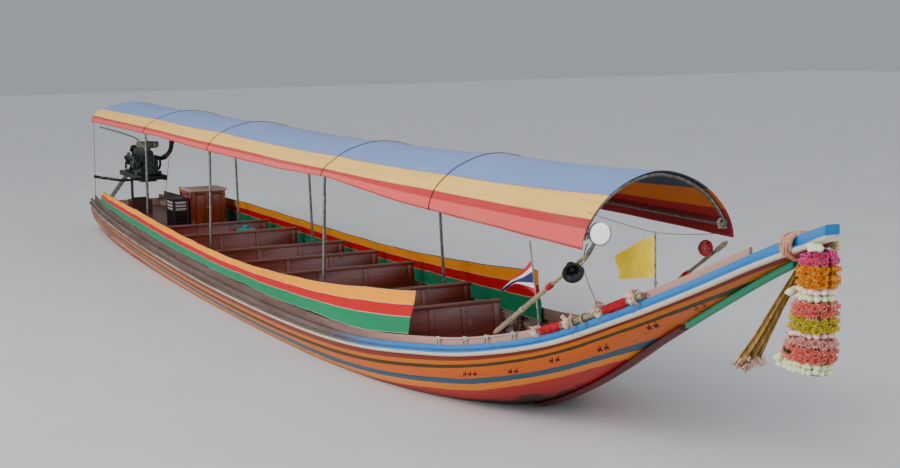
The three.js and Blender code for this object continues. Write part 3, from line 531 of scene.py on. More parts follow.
hull_paint = banded_paint("banded_hull_paint", [colour for _, colour in BANDS])
print("bands:", ", ".join(f"{name} to {round(track[4] * 1000)} mm" for name, track in BAND_EDGES.items()))


# %% [markdown]
# Inside, the planking was painted pinkish white and is peeling to bare brown wood. The peel is
# a noise with a hard step, and the paint stands a little proud of the wood in the bump.

# %% Finish of the inner planking
def peeling_paint(name, paint, wood, amount=0.5, scale=9.0, stretch=(0.5, 1, 1)):
    material, tree, shader = new_finish(name, roughness=0.8)
    place = object_place(tree, stretch)
    patches = speckle(tree, place, scale, 9, 0.66)
    left = ramp(tree, patches, [(amount - 0.03, 0.0), (amount + 0.03, 1.0)])
    coat = mixed(tree, speckle(tree, place, 3, 3), paint, "9b8478")
    colour = mixed(tree, left, wood_under(tree, object_place(tree, (0.15, 2, 2)), wood, "3a221a"), coat)
    tree.links.new(colour, shader.inputs["Base Color"])
    relief(tree, shader, calc(tree, "ADD", left, calc(tree, "MULTIPLY", speckle(tree, place, 50), 0.4)),
           0.0015)
    return material


inner_paint = peeling_paint("peeling_inner_paint", "8f7a69", "4f352b", 0.50)

# %% [markdown]
# The side planking is one skin from the gunwale to the turn of the bilge, on each side. Its
# rows follow the depth below the gunwale, so that the bands stay even. Three plank seams are
# real grooves, three millimetres deep, because they catch the light along the whole boat.

# %% Side and bottom planking
SIDE_ROWS = np.linspace(0, 1, 31)
SEAM_ROWS = (9, 17, 24)


def side_grids(side):
    outer, inner, strip = [], [], []
    for x in HULL_XS:
        lowest = math.cos(BILGE_ANGLE) ** hull("bilge", x)
        depth = hull("gunwale", x) - hull("keel", x)
        shares, insets = [], []
        for row, share in enumerate(SIDE_ROWS):
            if row in SEAM_ROWS:
                step = 0.0035 / depth
                shares += [share * lowest - step, share * lowest, share * lowest + step]
                insets += [0.0, 0.003, 0.0]
            else:
                shares.append(share * lowest)
                insets.append(0.0)
        outer.append([skin_at_depth(x, share, side, inset) for share, inset in zip(shares, insets)])
        inner.append([skin_at_depth(x, share, side, PLANK) for share in shares])
        strip.append([(x, band_number(x, share * depth)) for share in shares])
    return outer, inner, np.concatenate([np.reshape(strip, (-1, 2))] * 2)


hull_wood_edge = peeling_paint("plank_edge", "8a6f5d", "5b4336", 0.5)
for side, name in ((-1, "starboard"), (1, "port")):
    outer, inner, strip = side_grids(side)
    vertices, faces, which = shell(outer, inner)
    piece = make_piece(f"side_planking_{name}", (vertices, faces),
                       [hull_paint, inner_paint, hull_wood_edge],
                       strip=strip, face_finish=which, replaces=[f"hull_side_{name}"])
    print(piece.name, len(piece.data.polygons), "faces")

bottom_angles = np.linspace(-BILGE_ANGLE, BILGE_ANGLE, 25) * 0.9996
outer = [[skin_at_angle(x, angle) for angle in bottom_angles] for x in HULL_XS]
inner = [[skin_at_angle(x, angle, PLANK) for angle in bottom_angles] for x in HULL_XS]
strip = [[(x, band_number(x, hull("gunwale", x) - point[2])) for point in ring]
         for x, ring in zip(HULL_XS, outer)]
vertices, faces, which = shell(outer, inner)
make_piece("bottom_planking", (vertices, faces), [hull_paint, inner_paint, hull_wood_edge],
           strip=np.concatenate([np.reshape(strip, (-1, 2))] * 2), face_finish=which,
           replaces=["hull_bottom_aft", "hull_bottom_fore"])

# %% [markdown]
# The prow head is the solid timber that the planks die into. It keeps the section of the hull
# to the tip, and its top carries the blue cap that carries on the line of the washboards.

# %% Prow head
HEAD_XS = np.linspace(HEAD_START + 0.0003, PROW_TIP, 20)
head_angles = np.radians(np.linspace(-90, 90, 21))
head_rings = [[skin_at_angle(x, angle) for angle in head_angles] for x in HEAD_XS]
head_strip = [[(x, band_number(x, hull("gunwale", x) - point[2])) for point in ring]
              for x, ring in zip(HEAD_XS, head_rings)]
make_piece("prow_timber", loft(head_rings), hull_paint,
           strip=np.reshape(head_strip, (-1, 2)), replaces=["prow_head"])


# %% [markdown]
# Along the bow's orange field, pairs of small curled leaves are painted in dark red. Each leaf is
# a bent stroke that swells and tapers. It is laid on the planking as a coat of paint a
# millimetre thick, so that it follows the hull's curve.

# %% Painted leaves on the bow
LEAF_PLACES = [(11.78, 0.156, 3), (12.16, 0.156, 2), (12.52, 0.124, 2), (12.88, 0.132, 2),
               (13.28, 0.104, 2), (13.62, 0.100, 2)]
leaf_paint, tree, shader = new_finish("dark_red_leaf_paint", roughness=0.5, specular=0.2)
tree.links.new(ramp(tree, speckle(tree, object_place(tree), 60), [(0.3, "3a0200"), (0.7, "5c0803")]),
               shader.inputs["Base Color"])


def painted_stroke(side, start_x, start_depth, turns, width):
    rings = []
    line = smooth_line([(start_x + x, start_depth - up) for x, up in turns], 10)
    for place, (x, depth) in enumerate(line):
        half = width * (0.25 + 0.75 * math.sin(math.pi * place / 10) ** 0.7) / 2
        tall = hull("gunwale", x) - hull("keel", x)
        rings.append([skin_at_depth(x, (depth + side_step) / tall, side, inset)
                      for side_step, inset in ((-half, 0.002), (-half, -0.001), (half, -0.001),
                                               (half, 0.002))])
    return loft(rings)


leaf_turns = ((0.0, 0.0), (0.013, 0.012), (0.024, 0.008), (0.034, 0.014), (0.046, 0.032))
strokes = [painted_stroke(side, x + (index - count / 2) * 0.048, depth + 0.014, leaf_turns, 0.016)
           for side in (-1, 1) for x, depth, count in LEAF_PLACES for index in range(count)]
make_piece("bow_leaf_marks", together(*strokes), leaf_paint, tidy=False)
print("painted leaves:", len(strokes))

# %% [markdown]
# Long timbers run along the gunwale: the blue washboard, the inner coaming and the half-round
# white rub strip. Each is lofted along the same stations as the planking, with its corners
# rounded, so that it lies on the hull without a gap.

# %% Long timbers
def rounded_section(inner, outer, low, high, radius):
    """A board's section with rounded corners, as (out, up) pairs."""
    steps = np.radians([0, 45, 90])
    centres = [(outer - radius, high - radius, 0), (inner + radius, high - radius, 90),
               (inner + radius, low + radius, 180), (outer - radius, low + radius, 270)]
    return [(y + radius * math.cos(math.radians(turn) + step),
             z + radius * math.sin(math.radians(turn) + step))
            for y, z, turn in centres for step in steps]


def gunwale_timber(name, side, start, end, section_at, finishes, replaces, upper=0.05):
    """One long timber. A second finish is used for what lies higher than upper over the gunwale."""
    xs = [start, *[x for x in np.arange(0, PROW_TIP, 0.1) if start + 0.04 < x < end - 0.04], end]
    rings = []
    for x in xs:
        out, up = hull("half_beam", x), hull("gunwale", x)
        rings.append([(x, side * (out + y), up + z) for y, z in section_at(x)])
    points, faces = loft(rings)
    heights = [point[2] - hull("gunwale", point[0]) for point in points]
    which = [int(np.mean([heights[index] for index in face]) > upper) for face in faces]
    return make_piece(name, (points, faces), finishes, face_finish=which, replaces=replaces)


def painted_timber(name, paint, aged, wood, fade_from, fade_to, wear=0.58, roughness=0.5):
    """Paint on a long timber that is fresh forward and worn to greyed wood aft."""
    material, tree, shader = new_finish(name, roughness=roughness, specular=0.3)
    apart = height_of(tree)
    x = calc(tree, "DIVIDE", apart.outputs[0], 14.66)
    long_place = object_place(tree, (0.10, 1, 1))
    fresh = ramp(tree, x, [(fade_from / 14.66, 0.0), (fade_to / 14.66, 1.0)])
    coat = mixed(tree, fresh, aged, paint)
    coat = mixed(tree, calc(tree, "MULTIPLY", speckle(tree, long_place, 8, 5), 0.16), coat, "8d8f90")
    bare = ramp(tree, speckle(tree, object_place(tree, (0.3, 1, 1)), 22, 9, 0.7),
                [(wear, 0.0), (wear + 0.07, 1.0)])
    aft_loss = calc(tree, "MULTIPLY", calc(tree, "SUBTRACT", 1.0, fresh),
                    ramp(tree, speckle(tree, long_place, 12, 7, 0.7), [(0.42, 0.0), (0.6, 0.9)]))
    loss = calc(tree, "MAXIMUM", bare, aft_loss)
    colour = mixed(tree, loss, coat, wood_under(tree, object_place(tree, (0.12, 2, 2)), wood, "4a3b33"))
    tree.links.new(colour, shader.inputs["Base Color"])
    tree.links.new(calc(tree, "ADD", roughness, calc(tree, "MULTIPLY", loss, 0.3)),
                   shader.inputs["Roughness"])
    relief(tree, shader, calc(tree, "SUBTRACT", speckle(tree, long_place, 70, 5), loss), 0.002)
    return material


blue_paint = painted_timber("blue_washboard_paint", "0f78c0", "66554c", "66554c", 9.9, 10.9, wear=0.64)
white_paint = painted_timber("white_rub_strip_paint", "dccdb2", "cdbb9c", "8a7768", 6.0, 9.0, wear=0.62)
coaming_finish = painted_timber("coaming_wood", "b98c7c", "604a40", "6b5146", 9.4, 11.4, wear=0.62,
                                roughness=0.7)
green_paint = painted_timber("green_cutwater_paint", "068a64", "068a64", "5c4a3e", 1.0, 2.0, wear=0.68)

RUB_SECTION = [(0.0008, -0.0003), (0.012, -0.0005), (0.019, -0.0035), (0.0232, -0.009), (0.024, -0.0125),
               (0.024, -0.018), (0.0225, -0.027), (0.018, -0.034), (0.010, -0.0375), (0.0008, -0.038)]


def washboard_section(x):
    return rounded_section(-0.030, 0.0, 0.0003, hull("washboard", x), 0.008)


def coaming_section(x):
    return rounded_section(-0.0503, -0.0303, 0.004, hull("coaming", x), 0.006)


for side, name in ((-1, "starboard"), (1, "port")):
    gunwale_timber(f"washboard_plank_{name}", side, 0.0, 14.15, washboard_section, [blue_paint, blue_paint],
                   [f"washboard_{name}"])
    gunwale_timber(f"coaming_plank_{name}", side, 0.25, 14.08, coaming_section,
                   [coaming_finish, coaming_finish], [f"coaming_{name}"])
    gunwale_timber(f"rub_rail_{name}", side, 0.0, 14.54, lambda x: RUB_SECTION, [white_paint, blue_paint],
                   [f"rub_strip_{name}"], upper=-0.0124)

# %% Cap of the prow head
cap_rings = []
for x in np.linspace(14.1503, PROW_TIP - 0.001, 9):
    half, up = hull("half_beam", x), hull("gunwale", x)
    section = rounded_section(-half + 0.0005, half - 0.0005, -0.010, hull("washboard", x), 0.008)
    cap_rings.append([(x, y, up + z) for y, z in section])
make_piece("prow_cap", loft(cap_rings), blue_paint)


# %% [markdown]
# The keel plank protects the bottom when the boat is beached, and the green cutwater under the
# prow does the same work in the air. Both are plain timbers with a rounded lower face.

# %% Keel plank and cutwater
def keel_timber(name, start, end, half_width, depth, finish, replaces):
    rings = []
    for x in np.arange(start, end + 0.001, (end - start) / max(8, round((end - start) / 0.12))):
        top = hull("keel", x) - 0.0005
        section = rounded_section(-half_width, half_width, -depth, 0.0, min(half_width, depth) * 0.45)
        rings.append([(x, y, top + z) for y, z in section])
    make_piece(name, loft(rings), finish, replaces=replaces)


bare_wood = peeling_paint("weathered_wood", "8b7c70", "6f5d50", 0.45, 6.0, (0.3, 1, 1))
hull_red_timber = painted_timber("maroon_keel_paint", "520402", "46322a", "5f4c41", 9.5, 12.4, wear=0.70)
keel_timber("keel_plank", 0.30, 13.38, 0.035, 0.034, hull_red_timber, ["keel"])
keel_timber("cutwater_timber", 13.42, 14.352, 0.023, 0.038, green_paint, ["cutwater"])
dress(bare_wood, "transom")

# %% [markdown]
# The decks and floorboards are laid from narrow boards. The solids have the right form, so
# they stay, and the finish draws the gaps between the boards: the distance across the boat is
# cut into board widths, and a narrow dark line with a groove in the bump marks each edge.

# %% Board finishes for decks and floor
def boarded(name, light, dark, width, roughness=0.45, worn="8c6a55", wear=0.62):
    material, tree, shader = new_finish(name, roughness=roughness)
    apart = height_of(tree)
    number = calc(tree, "DIVIDE", apart.outputs[1], width)
    share = calc(tree, "FRACT", calc(tree, "ADD", number, 100.5))
    gap = calc(tree, "LESS_THAN", calc(tree, "ABSOLUTE", calc(tree, "SUBTRACT", share, 0.5)),
               0.5 - 0.003 / width)
    stretch = (0.25, 3, 3)
    step = calc(tree, "MULTIPLY", calc(tree, "FLOOR", number), 3.7)
    shift = add_node(tree, "ShaderNodeCombineXYZ", {0: step})
    place = add_node(tree, "ShaderNodeVectorMath", {0: object_place(tree, stretch), 1: shift.outputs[0]},
                     operation="ADD").outputs[0]
    grain = speckle(tree, place, 11, 7, 0.6)
    wood = ramp(tree, grain, [(0.32, dark), (0.66, light)])
    scuffs = ramp(tree, speckle(tree, object_place(tree), 7, 8, 0.7), [(wear, 0.0), (wear + 0.12, 0.8)])
    wood = mixed(tree, scuffs, wood, worn)
    tree.links.new(mixed(tree, gap, "140b08", wood), shader.inputs["Base Color"])
    tree.links.new(calc(tree, "ADD", roughness, calc(tree, "MULTIPLY", scuffs, 0.3)),
                   shader.inputs["Roughness"])
    relief(tree, shader, calc(tree, "ADD", gap, calc(tree, "MULTIPLY", grain, 0.25)), 0.003)
    return material


deck_boards = boarded("varnished_deck_boards", "6d2a1b", "3a130c", 0.125)
floor_boards = boarded("wet_floor_boards", "5d2c20", "2d130d", 0.140, roughness=0.35)
fore_boards = boarded("pink_fore_deck_boards", "b09486", "7b5f52", 0.110, roughness=0.7)
dress(deck_boards, "aft_deck")
dress(floor_boards, "floorboards")
dress(fore_boards, "fore_deck")

# %% [markdown]
# Varnish on the benches and the cabinet is a dark red-brown with a soft shine, worn along the
# grain. The seat boards are greyer, almost mauve, from long use.

# %% Varnished and mauve board finishes
def varnish(name, light, dark, grain_along, roughness=0.32, worn="8a5a48", wear=0.60):
    material, tree, shader = new_finish(name, roughness=roughness)
    stretch = {"x": (0.2, 3, 3), "y": (3, 0.2, 3), "z": (3, 3, 0.2)}[grain_along]
    place = object_place(tree, stretch)
    grain = speckle(tree, place, 9, 7, 0.62)
    streak = speckle(tree, place, 30, 4, 0.5)
    wood = ramp(tree, calc(tree, "ADD", calc(tree, "MULTIPLY", grain, 0.7),
                           calc(tree, "MULTIPLY", streak, 0.3)),
                [(0.36, dark), (0.64, light)])
    scuffs = ramp(tree, speckle(tree, object_place(tree), 8, 9, 0.7), [(wear, 0.0), (wear + 0.1, 0.75)])
    tree.links.new(mixed(tree, scuffs, wood, worn), shader.inputs["Base Color"])
    tree.links.new(calc(tree, "ADD", roughness, calc(tree, "MULTIPLY", scuffs, 0.35)),
                   shader.inputs["Roughness"])
    relief(tree, shader, calc(tree, "ADD", grain, calc(tree, "MULTIPLY", scuffs, -0.6)), 0.0012)
    return material


back_varnish = varnish("bench_back_varnish", "7e2812", "4c150a", "y")
seat_paint = varnish("bench_seat_paint", "7c4a4a", "573334", "y", roughness=0.5, worn="97807c")
trim_wood = varnish("pale_edge_trim", "a5806c", "7a5544", "y", roughness=0.5)

# %% [markdown]
# A bench is five boards: a lower back board, a leaning back rest with a cap rail, a seat and a
# front board. Thin pale strips along the edges take the wear. Every board is a prism across
# the boat with its edges rounded, and the bench keeps the outline of its solid.

# %% Benches
BENCH_XS = (4.250, 5.120, 6.420, 7.270, 8.120, 9.420, 10.270)
SEAT_TOP, BACK_TOP, BENCH_FLOOR, BENCH_DEPTH, BOARD = 0.200, 0.455, -0.0597, 0.330, 0.022
BACK_LEAN = 0.045


def prism(profile, low, high):
    """A board across the boat from its outline in x and z."""
    count = len(profile)
    vertices = [(x, y, z) for y in (low, high) for x, z in profile]
    faces = [(index, (index + 1) % count, (index + 1) % count + count, index + count)
             for index in range(count)]
    faces += [tuple(reversed(range(count))), tuple(range(count, 2 * count))]
    return vertices, faces


def back_x(z):
    return -BACK_LEAN * (z - SEAT_TOP) / (BACK_TOP - SEAT_TOP)


for number, start in enumerate(BENCH_XS, 1):
    low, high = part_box(f"bench_{number}")
    left, right = low.y, high.y
    rail = BACK_TOP - 0.030
    boards = [
        (0, [(0, BENCH_FLOOR), (BOARD, BENCH_FLOOR), (BOARD, SEAT_TOP - 0.001), (0, SEAT_TOP - 0.001)],
         0.0),
        (0, [(0, SEAT_TOP), (BOARD - 0.004, SEAT_TOP), (BOARD - 0.004 + back_x(rail), rail),
             (back_x(rail), rail)],
         0.012),
        (0, [(back_x(rail) - 0.002, rail + 0.0005), (back_x(rail) + BOARD + 0.003, rail + 0.0005),
             (BOARD - BACK_LEAN + 0.003, BACK_TOP), (-BACK_LEAN, BACK_TOP)], 0.0),
        (1, [(BOARD + 0.0005, SEAT_TOP - BOARD), (BENCH_DEPTH, SEAT_TOP - BOARD), (BENCH_DEPTH, SEAT_TOP),
             (BOARD + 0.0005, SEAT_TOP)], 0.0),
        (0, [(BENCH_DEPTH - BOARD, BENCH_FLOOR), (BENCH_DEPTH - 0.003, BENCH_FLOOR),
             (BENCH_DEPTH - 0.003, SEAT_TOP - BOARD - 0.0005),
             (BENCH_DEPTH - BOARD, SEAT_TOP - BOARD - 0.0005)],
         0.010),
        (2, [(BENCH_DEPTH + 0.0004, SEAT_TOP - 0.020), (BENCH_DEPTH + 0.006, SEAT_TOP - 0.020),
             (BENCH_DEPTH + 0.006, SEAT_TOP + 0.001), (BENCH_DEPTH + 0.0004, SEAT_TOP + 0.001)], 0.0),
        (2, [(BOARD - BACK_LEAN + 0.0034, BACK_TOP - 0.014), (BOARD - BACK_LEAN + 0.0074, BACK_TOP - 0.014),
             (BOARD - BACK_LEAN + 0.0074, BACK_TOP + 0.001),
             (BOARD - BACK_LEAN + 0.0034, BACK_TOP + 0.001)], 0.004),
    ]
    stiles = []
    for share in (0.0, 0.335, 0.665, 1.0):
        y = left + 0.02 + share * (right - left - 0.04 - 0.05)
        stiles.append((0, [(BOARD - 0.0035, SEAT_TOP + 0.002), (BOARD + 0.0005, SEAT_TOP + 0.002),
                           (BOARD + 0.0005 + back_x(rail), rail - 0.002),
                           (BOARD - 0.0035 + back_x(rail), rail - 0.002)], (y, y + 0.05)))
    shapes, which = [], []
    for finish, profile, trim in boards + stiles:
        low_y, high_y = trim if isinstance(trim, tuple) else (left + trim, right - trim)
        shape = prism([(start + x, z) for x, z in profile], low_y, high_y)
        shapes.append(shape)
        which += [finish] * len(shape[1])
    make_piece(f"passenger_bench_{number}", together(*shapes), [back_varnish, seat_paint, trim_wood],
               face_finish=which, rounding=0.0016, replaces=[f"bench_{number}"])
print("benches:", len(BENCH_XS), "seat height", SEAT_TOP)
dress(varnish("thwart_varnish", "6f2c1c", "3d150d", "y"), "thwart_b", "thwart_c")

# %% [markdown]
# Ribs stiffen the sides between the benches. Each is a curved timber that follows the inside
# of the planking from the floor to below the gunwale, so its points come from the same hull
# form as the planking, set in by the thickness of the plank.

# %% Ribs
rib_wood = peeling_paint("rib_wood", "8f6a58", "59352a", 0.52, 14, (1, 1, 1))
taken = [(x - BACK_LEAN - 0.03, x + BENCH_DEPTH + 0.03) for x in BENCH_XS] + [(5.83, 5.95), (9.0, 9.12)]
rib_count = 0
ribs = []
for x in np.arange(4.06, 10.5, 0.235):
    if any(low < x + 0.034 and x < high for low, high in taken):
        continue
    for side in (-1, 1):
        depth = hull("gunwale", x) - hull("keel", x)
        shares = np.linspace(0.06, (hull("gunwale", x) + 0.055) / depth, 12)
        rings = []
        for share in shares:
            near = skin_at_depth(x, share, side, PLANK + 0.0004)
            far = skin_at_depth(x, share, side, PLANK + 0.026)
            rings.append([near, far, (x + 0.034, far[1], far[2]), (x + 0.034, near[1], near[2])])
        ribs.append(loft(rings))
        rib_count += 1
make_piece("hull_ribs", together(*ribs), rib_wood, rounding=0.002)
print("ribs:", rib_count)

# %% [markdown]
# The canopy is one striped cloth, stretched over the hoops and laced along its edges. It was
# bleached by the sun outside and kept its strong colours inside. A real cloth sags a little
# between the hoops and pulls tight over them, so each ring of points is lowered by a share of
# that sag. The columns of points follow the seams between the stripes.

# %% Canopy form
CANOPY_AFT_X, CANOPY_FORE_X = 0.620, 13.130
CANOPY_XS = (CANOPY_AFT_X, 8.960, CANOPY_FORE_X)
CANOPY_FORM = {"half_width": (0.558, 0.526, 0.510), "edge": (1.470, 1.3193, 1.244),
               "rise": (0.225, 0.292, 0.415)}
VALANCE = 0.004
HEM_LIFT = {0.62: -0.010, 2.2: 0.004, 4.1: 0.020, 5.6: 0.004, 8.1: 0.015, 9.15: 0.048, 9.9: 0.025,
            10.6: 0.0, 13.13: 0.004}
HEM_SHARE = 0.14                  # the lift fades out over this share of the section
CANOPY_POWER = 2 / 1.8
HOOP_XS = {"hoop_aft": 0.660, "hoop_a": 3.370, "hoop_b": 5.890, "hoop_c": 9.060, "hoop_mid": 11.100,
           "hoop_front": 13.090}


def canopy(name, x):
    return float(np.interp(x, CANOPY_XS, CANOPY_FORM[name]))


def arch_point(x, degrees, inset=0.0):
    """A point of the arch, from 0 at the starboard edge over the crown to 180 at the port edge."""
    turn = math.radians(degrees)
    across = math.copysign(abs(math.cos(turn)) ** CANOPY_POWER, math.cos(turn))
    return (x, -(canopy("half_width", x) - inset) * across,
            canopy("edge", x) + (canopy("rise", x) - inset) * abs(math.sin(turn)) ** CANOPY_POWER)


def arch_line(x, inset=0.0):
    """The cloth's section at x as a dense line, and the share of its length at each point."""
    edge, half = canopy("edge", x), canopy("half_width", x) - inset
    line = [(x, -half, edge - VALANCE), (x, -half, edge - VALANCE / 2)]
    line += [arch_point(x, degrees, inset) for degrees in np.linspace(0, 180, 181)]
    line += [(x, half, edge - VALANCE / 2), (x, half, edge - VALANCE)]
    line = np.array(line)
    length = np.concatenate([[0], np.cumsum(np.linalg.norm(np.diff(line, axis=0), axis=1))])
    return line, length / length[-1], length[-1]


def hem_lift(x, share):
    """How far the starboard hem is pulled up at x, fading towards the crown."""
    return float(np.interp(x, list(HEM_LIFT), list(HEM_LIFT.values()))) * max(0.0, 1 - share / HEM_SHARE)


def sag_at(x, marks, depth):
    """0 at each mark and the full depth midway between two."""
    marks = sorted(marks)
    after = next((index for index, mark in enumerate(marks) if mark >= x), len(marks) - 1)
    if after == 0 or marks[-1] < x:
        return 0.0
    span = marks[after] - marks[after - 1]
    share = (x - marks[after - 1]) / span
    return depth * min(1.0, span / 2.4) * (4 * share * (1 - share)) ** 0.8


print("cloth across the arch:", round(arch_line(6.0)[2], 3), "m, along:",
      round(CANOPY_FORE_X - CANOPY_AFT_X, 3))

# %% [markdown]
# Each edge has a thin dark hem, then a pale red and a dark red stripe, then a yellow one, and
# the crown is a broad blue. The dark red stripe is the red cloth with painted shade: it lies
# along the purlin, where the cloth bends over it. The stripes widen towards the bow. A column
# of points keeps its stripe number, so the ramp of colours has straight seams. The outside and
# the inside of the cloth get their own finish.

# %% Canopy cloth finish
def woven(tree, shader, height=None, threads=900.0, distance=0.0004):
    """A plain weave: two crossed waves in the bump, faint at any distance but close up."""
    place = object_place(tree)
    along = add_node(tree, "ShaderNodeTexWave", {"Vector": place, "Scale": threads / 20, "Distortion": 0.4},
                     bands_direction="X").outputs[1]
    across = add_node(tree, "ShaderNodeTexWave", {"Vector": place, "Scale": threads / 20,
                                                  "Distortion": 0.4},
                      bands_direction="DIAGONAL").outputs[1]
    weave = calc(tree, "MULTIPLY", along, across)
    if height is not None:
        weave = calc(tree, "ADD", calc(tree, "MULTIPLY", weave, 0.08), height)
    relief(tree, shader, weave, distance if height is None else 0.012, 0.8)


def striped_cloth(name, colours, bleached, dirt, seam, roughness=0.85, fold_scale=3.0, sheen=0.15):
    """Stripes by number, with dark stitched seams, sun bleach in patches and soft folds."""
    material, tree, shader = new_finish(name, roughness=roughness, specular=0.25)
    shader.inputs["Sheen Weight"].default_value = sheen
    along, stripe = strip_place(tree)
    count = len(colours)
    steps = [(index / count, colour) for index, colour in enumerate(colours)]
    wobble = calc(tree, "MULTIPLY", calc(tree, "SUBTRACT", speckle(tree, object_place(tree), 4), 0.5), 0.04)
    cloth = ramp(tree, calc(tree, "DIVIDE", calc(tree, "ADD", stripe, wobble), count), steps, steps=True)
    patches = speckle(tree, object_place(tree, (0.5, 1, 1)), 1.6, 6, 0.6)
    cloth = mixed(tree, ramp(tree, patches, [(0.38, 0.0), (0.72, 0.55)]), cloth, bleached, "SOFT_LIGHT")
    stains = ramp(tree, speckle(tree, object_place(tree, (0.3, 2.5, 2.5)), 5, 8, 0.68),
                  [(0.52, 0.0), (0.75, 0.32)])
    cloth = mixed(tree, stains, cloth, dirt)
    edge = calc(tree, "ABSOLUTE", calc(tree, "SUBTRACT",
                                       calc(tree, "FRACT", calc(tree, "ADD", stripe, 0.5)), 0.5))
    stitch = calc(tree, "MULTIPLY", calc(tree, "LESS_THAN", edge, 0.035), 0.35)
    tree.links.new(mixed(tree, stitch, cloth, seam), shader.inputs["Base Color"])
    folds = speckle(tree, object_place(tree, (1.0, 0.6, 1.0)), fold_scale, 3, 0.5)
    woven(tree, shader, calc(tree, "ADD", calc(tree, "MULTIPLY", folds, 0.5),
                             calc(tree, "MULTIPLY", stitch, 0.2)))
    return material


# The dark red, first of the outside colours, is the red cloth with painted shade along the purlin, where the
# cloth bends over it.
OUTSIDE = ["c02c2e", "ffca62", "7494cc"]
INSIDE = ["b8000e", "e87c00", "33495c"]
EDGE = ["a8282c", "e45450"]
canopy_outside = striped_cloth("bleached_canopy_cloth", EDGE + OUTSIDE, "d8d2cc", "9a8878", "a86a60")
canopy_inside = striped_cloth("canopy_cloth_inside", ["a3141a", "8f1018"] + INSIDE, "c0b0a0", "3a2a22",
                              "501015", roughness=0.9)


# %% Canopy cloth
def canopy_columns(x):
    """Shares of the section's length with their stripe numbers, from the starboard hem to the port hem."""
    red_end = float(np.interp(x, (0.62, 4.5, 7.0, 9.2, 10.6, 13.13),
                              (0.066, 0.064, 0.073, 0.066, 0.098, 0.126)))
    yellow_end = float(np.interp(x, (0.62, 2.0, 8.0, 11.0, 13.13), (0.180, 0.198, 0.194, 0.207, 0.250)))
    # From light_end to red_end runs the dark red stripe: red cloth with painted shade along the purlin.
    light_end = red_end - float(np.interp(x, (0.62, 9.2, 11.0), (0.022, 0.026, 0.042)))
    bounds = [0.0, 0.008, light_end, red_end, yellow_end, 0.5]
    shares, stripes = [], []
    for band, pieces in enumerate((1, 5, 3, 6, 12)):
        for piece in range(pieces):
            share = piece / pieces
            shares.append(bounds[band] + share * (bounds[band + 1] - bounds[band]))
            stripes.append(band + share)
    return shares + [0.5] + [1 - share for share in reversed(shares)], stripes + [4.999] + stripes[::-1]


canopy_xs = np.linspace(CANOPY_AFT_X, CANOPY_FORE_X, 141)
outer, inner, strip = [], [], []
for x in canopy_xs:
    shares, stripes = canopy_columns(x)
    line, place, _ = arch_line(x)
    under, under_place, _ = arch_line(x, 0.003)
    sag = sag_at(x, HOOP_XS.values(), 0.020)
    row, under_row = [], []
    for share in shares:
        inner_share = min(1.0, max(0.0, (share - 0.05) / 0.9))
        fullness = math.sin(math.pi * inner_share) ** 0.7 if 0.05 < share < 0.95 else 0
        ripple = noise.noise(Vector((x * 2.2, share * 6, 3.1)))
        flutter = 0.004 * ripple * (1 if share in (0.0, 1.0) else 0.4)
        lift = Vector((0, 0, -sag * fullness + flutter - 0.004 + hem_lift(x, share)))
        row.append(Vector([np.interp(share, place, line[:, axis]) for axis in range(3)]) + lift)
        under_row.append(Vector([np.interp(share, under_place, under[:, axis])
                                 for axis in range(3)]) + lift)
    outer.append([tuple(point) for point in row])
    inner.append([tuple(point) for point in under_row])
    strip += [(x, stripe) for stripe in stripes]
vertices, faces, which = shell(outer, inner)
canopy_sheet = make_piece("canopy_sheet", (vertices, faces), [canopy_outside, canopy_inside, canopy_inside],
                          strip=strip * 2, face_finish=which,
                          replaces=["canopy_cloth"], flat_under=60)
print("canopy cloth:", len(canopy_sheet.data.polygons), "faces")

# %% [markdown]
# Galvanised pipe is pale grey with darker spangle and rust at the joints. The hoops are bent
# pipes, so each is one round tube along the same line as its solid, with enough sides to
# look round. Rope lashings hold the purlins and the cloth to them.

# %% Pipe, bamboo and rope finishes
def metal(name, pale, dark, rust, roughness=0.42, metallic=0.8, rusting=0.60, scale=30):
    material, tree, shader = new_finish(name, roughness=roughness, metallic=metallic)
    place = object_place(tree)
    body = ramp(tree, speckle(tree, place, scale, 5), [(0.35, dark), (0.65, pale)])
    spots = ramp(tree, speckle(tree, place, scale * 0.45, 9, 0.7), [(rusting, 0.0), (rusting + 0.08, 1.0)])
    tree.links.new(mixed(tree, spots, body, rust), shader.inputs["Base Color"])
    tree.links.new(calc(tree, "ADD", roughness, calc(tree, "MULTIPLY", spots, 0.4)),
                   shader.inputs["Roughness"])
    tree.links.new(calc(tree, "MULTIPLY", calc(tree, "SUBTRACT", 1.0, spots), metallic),
                   shader.inputs["Metallic"])
    relief(tree, shader, calc(tree, "ADD", spots, speckle(tree, place, 160, 2)), 0.0005)
    return material


def twisted_rope(name, pale, dark, pitch=60.0):
    material, tree, shader = new_finish(name, roughness=0.9, specular=0.2)
    strands = add_node(tree, "ShaderNodeTexWave", {"Vector": object_place(tree), "Scale": pitch,
                                                   "Distortion": 1.2},
                       bands_direction="DIAGONAL").outputs[1]
    # The ramp follows the strands' relief: the cord is darker in the grooves between the strands, which is
    # painted shade.
    tree.links.new(ramp(tree, strands, [(0.1, dark), (0.7, pale)]), shader.inputs["Base Color"])
    relief(tree, shader, strands, 0.0012)
    return material


pipe_metal = metal("galvanised_pipe", "8d8b86", "615e59", "5d3a24", metallic=0.55, rusting=0.58)
pale_rope = twisted_rope("pale_rope", "cdbfa8", "7d6c55")
white_cord = twisted_rope("white_cord", "e6e0d6", "9a9184", 120.0)
dark_cord = twisted_rope("dark_cord", "4d463f", "241f1b", 120.0)


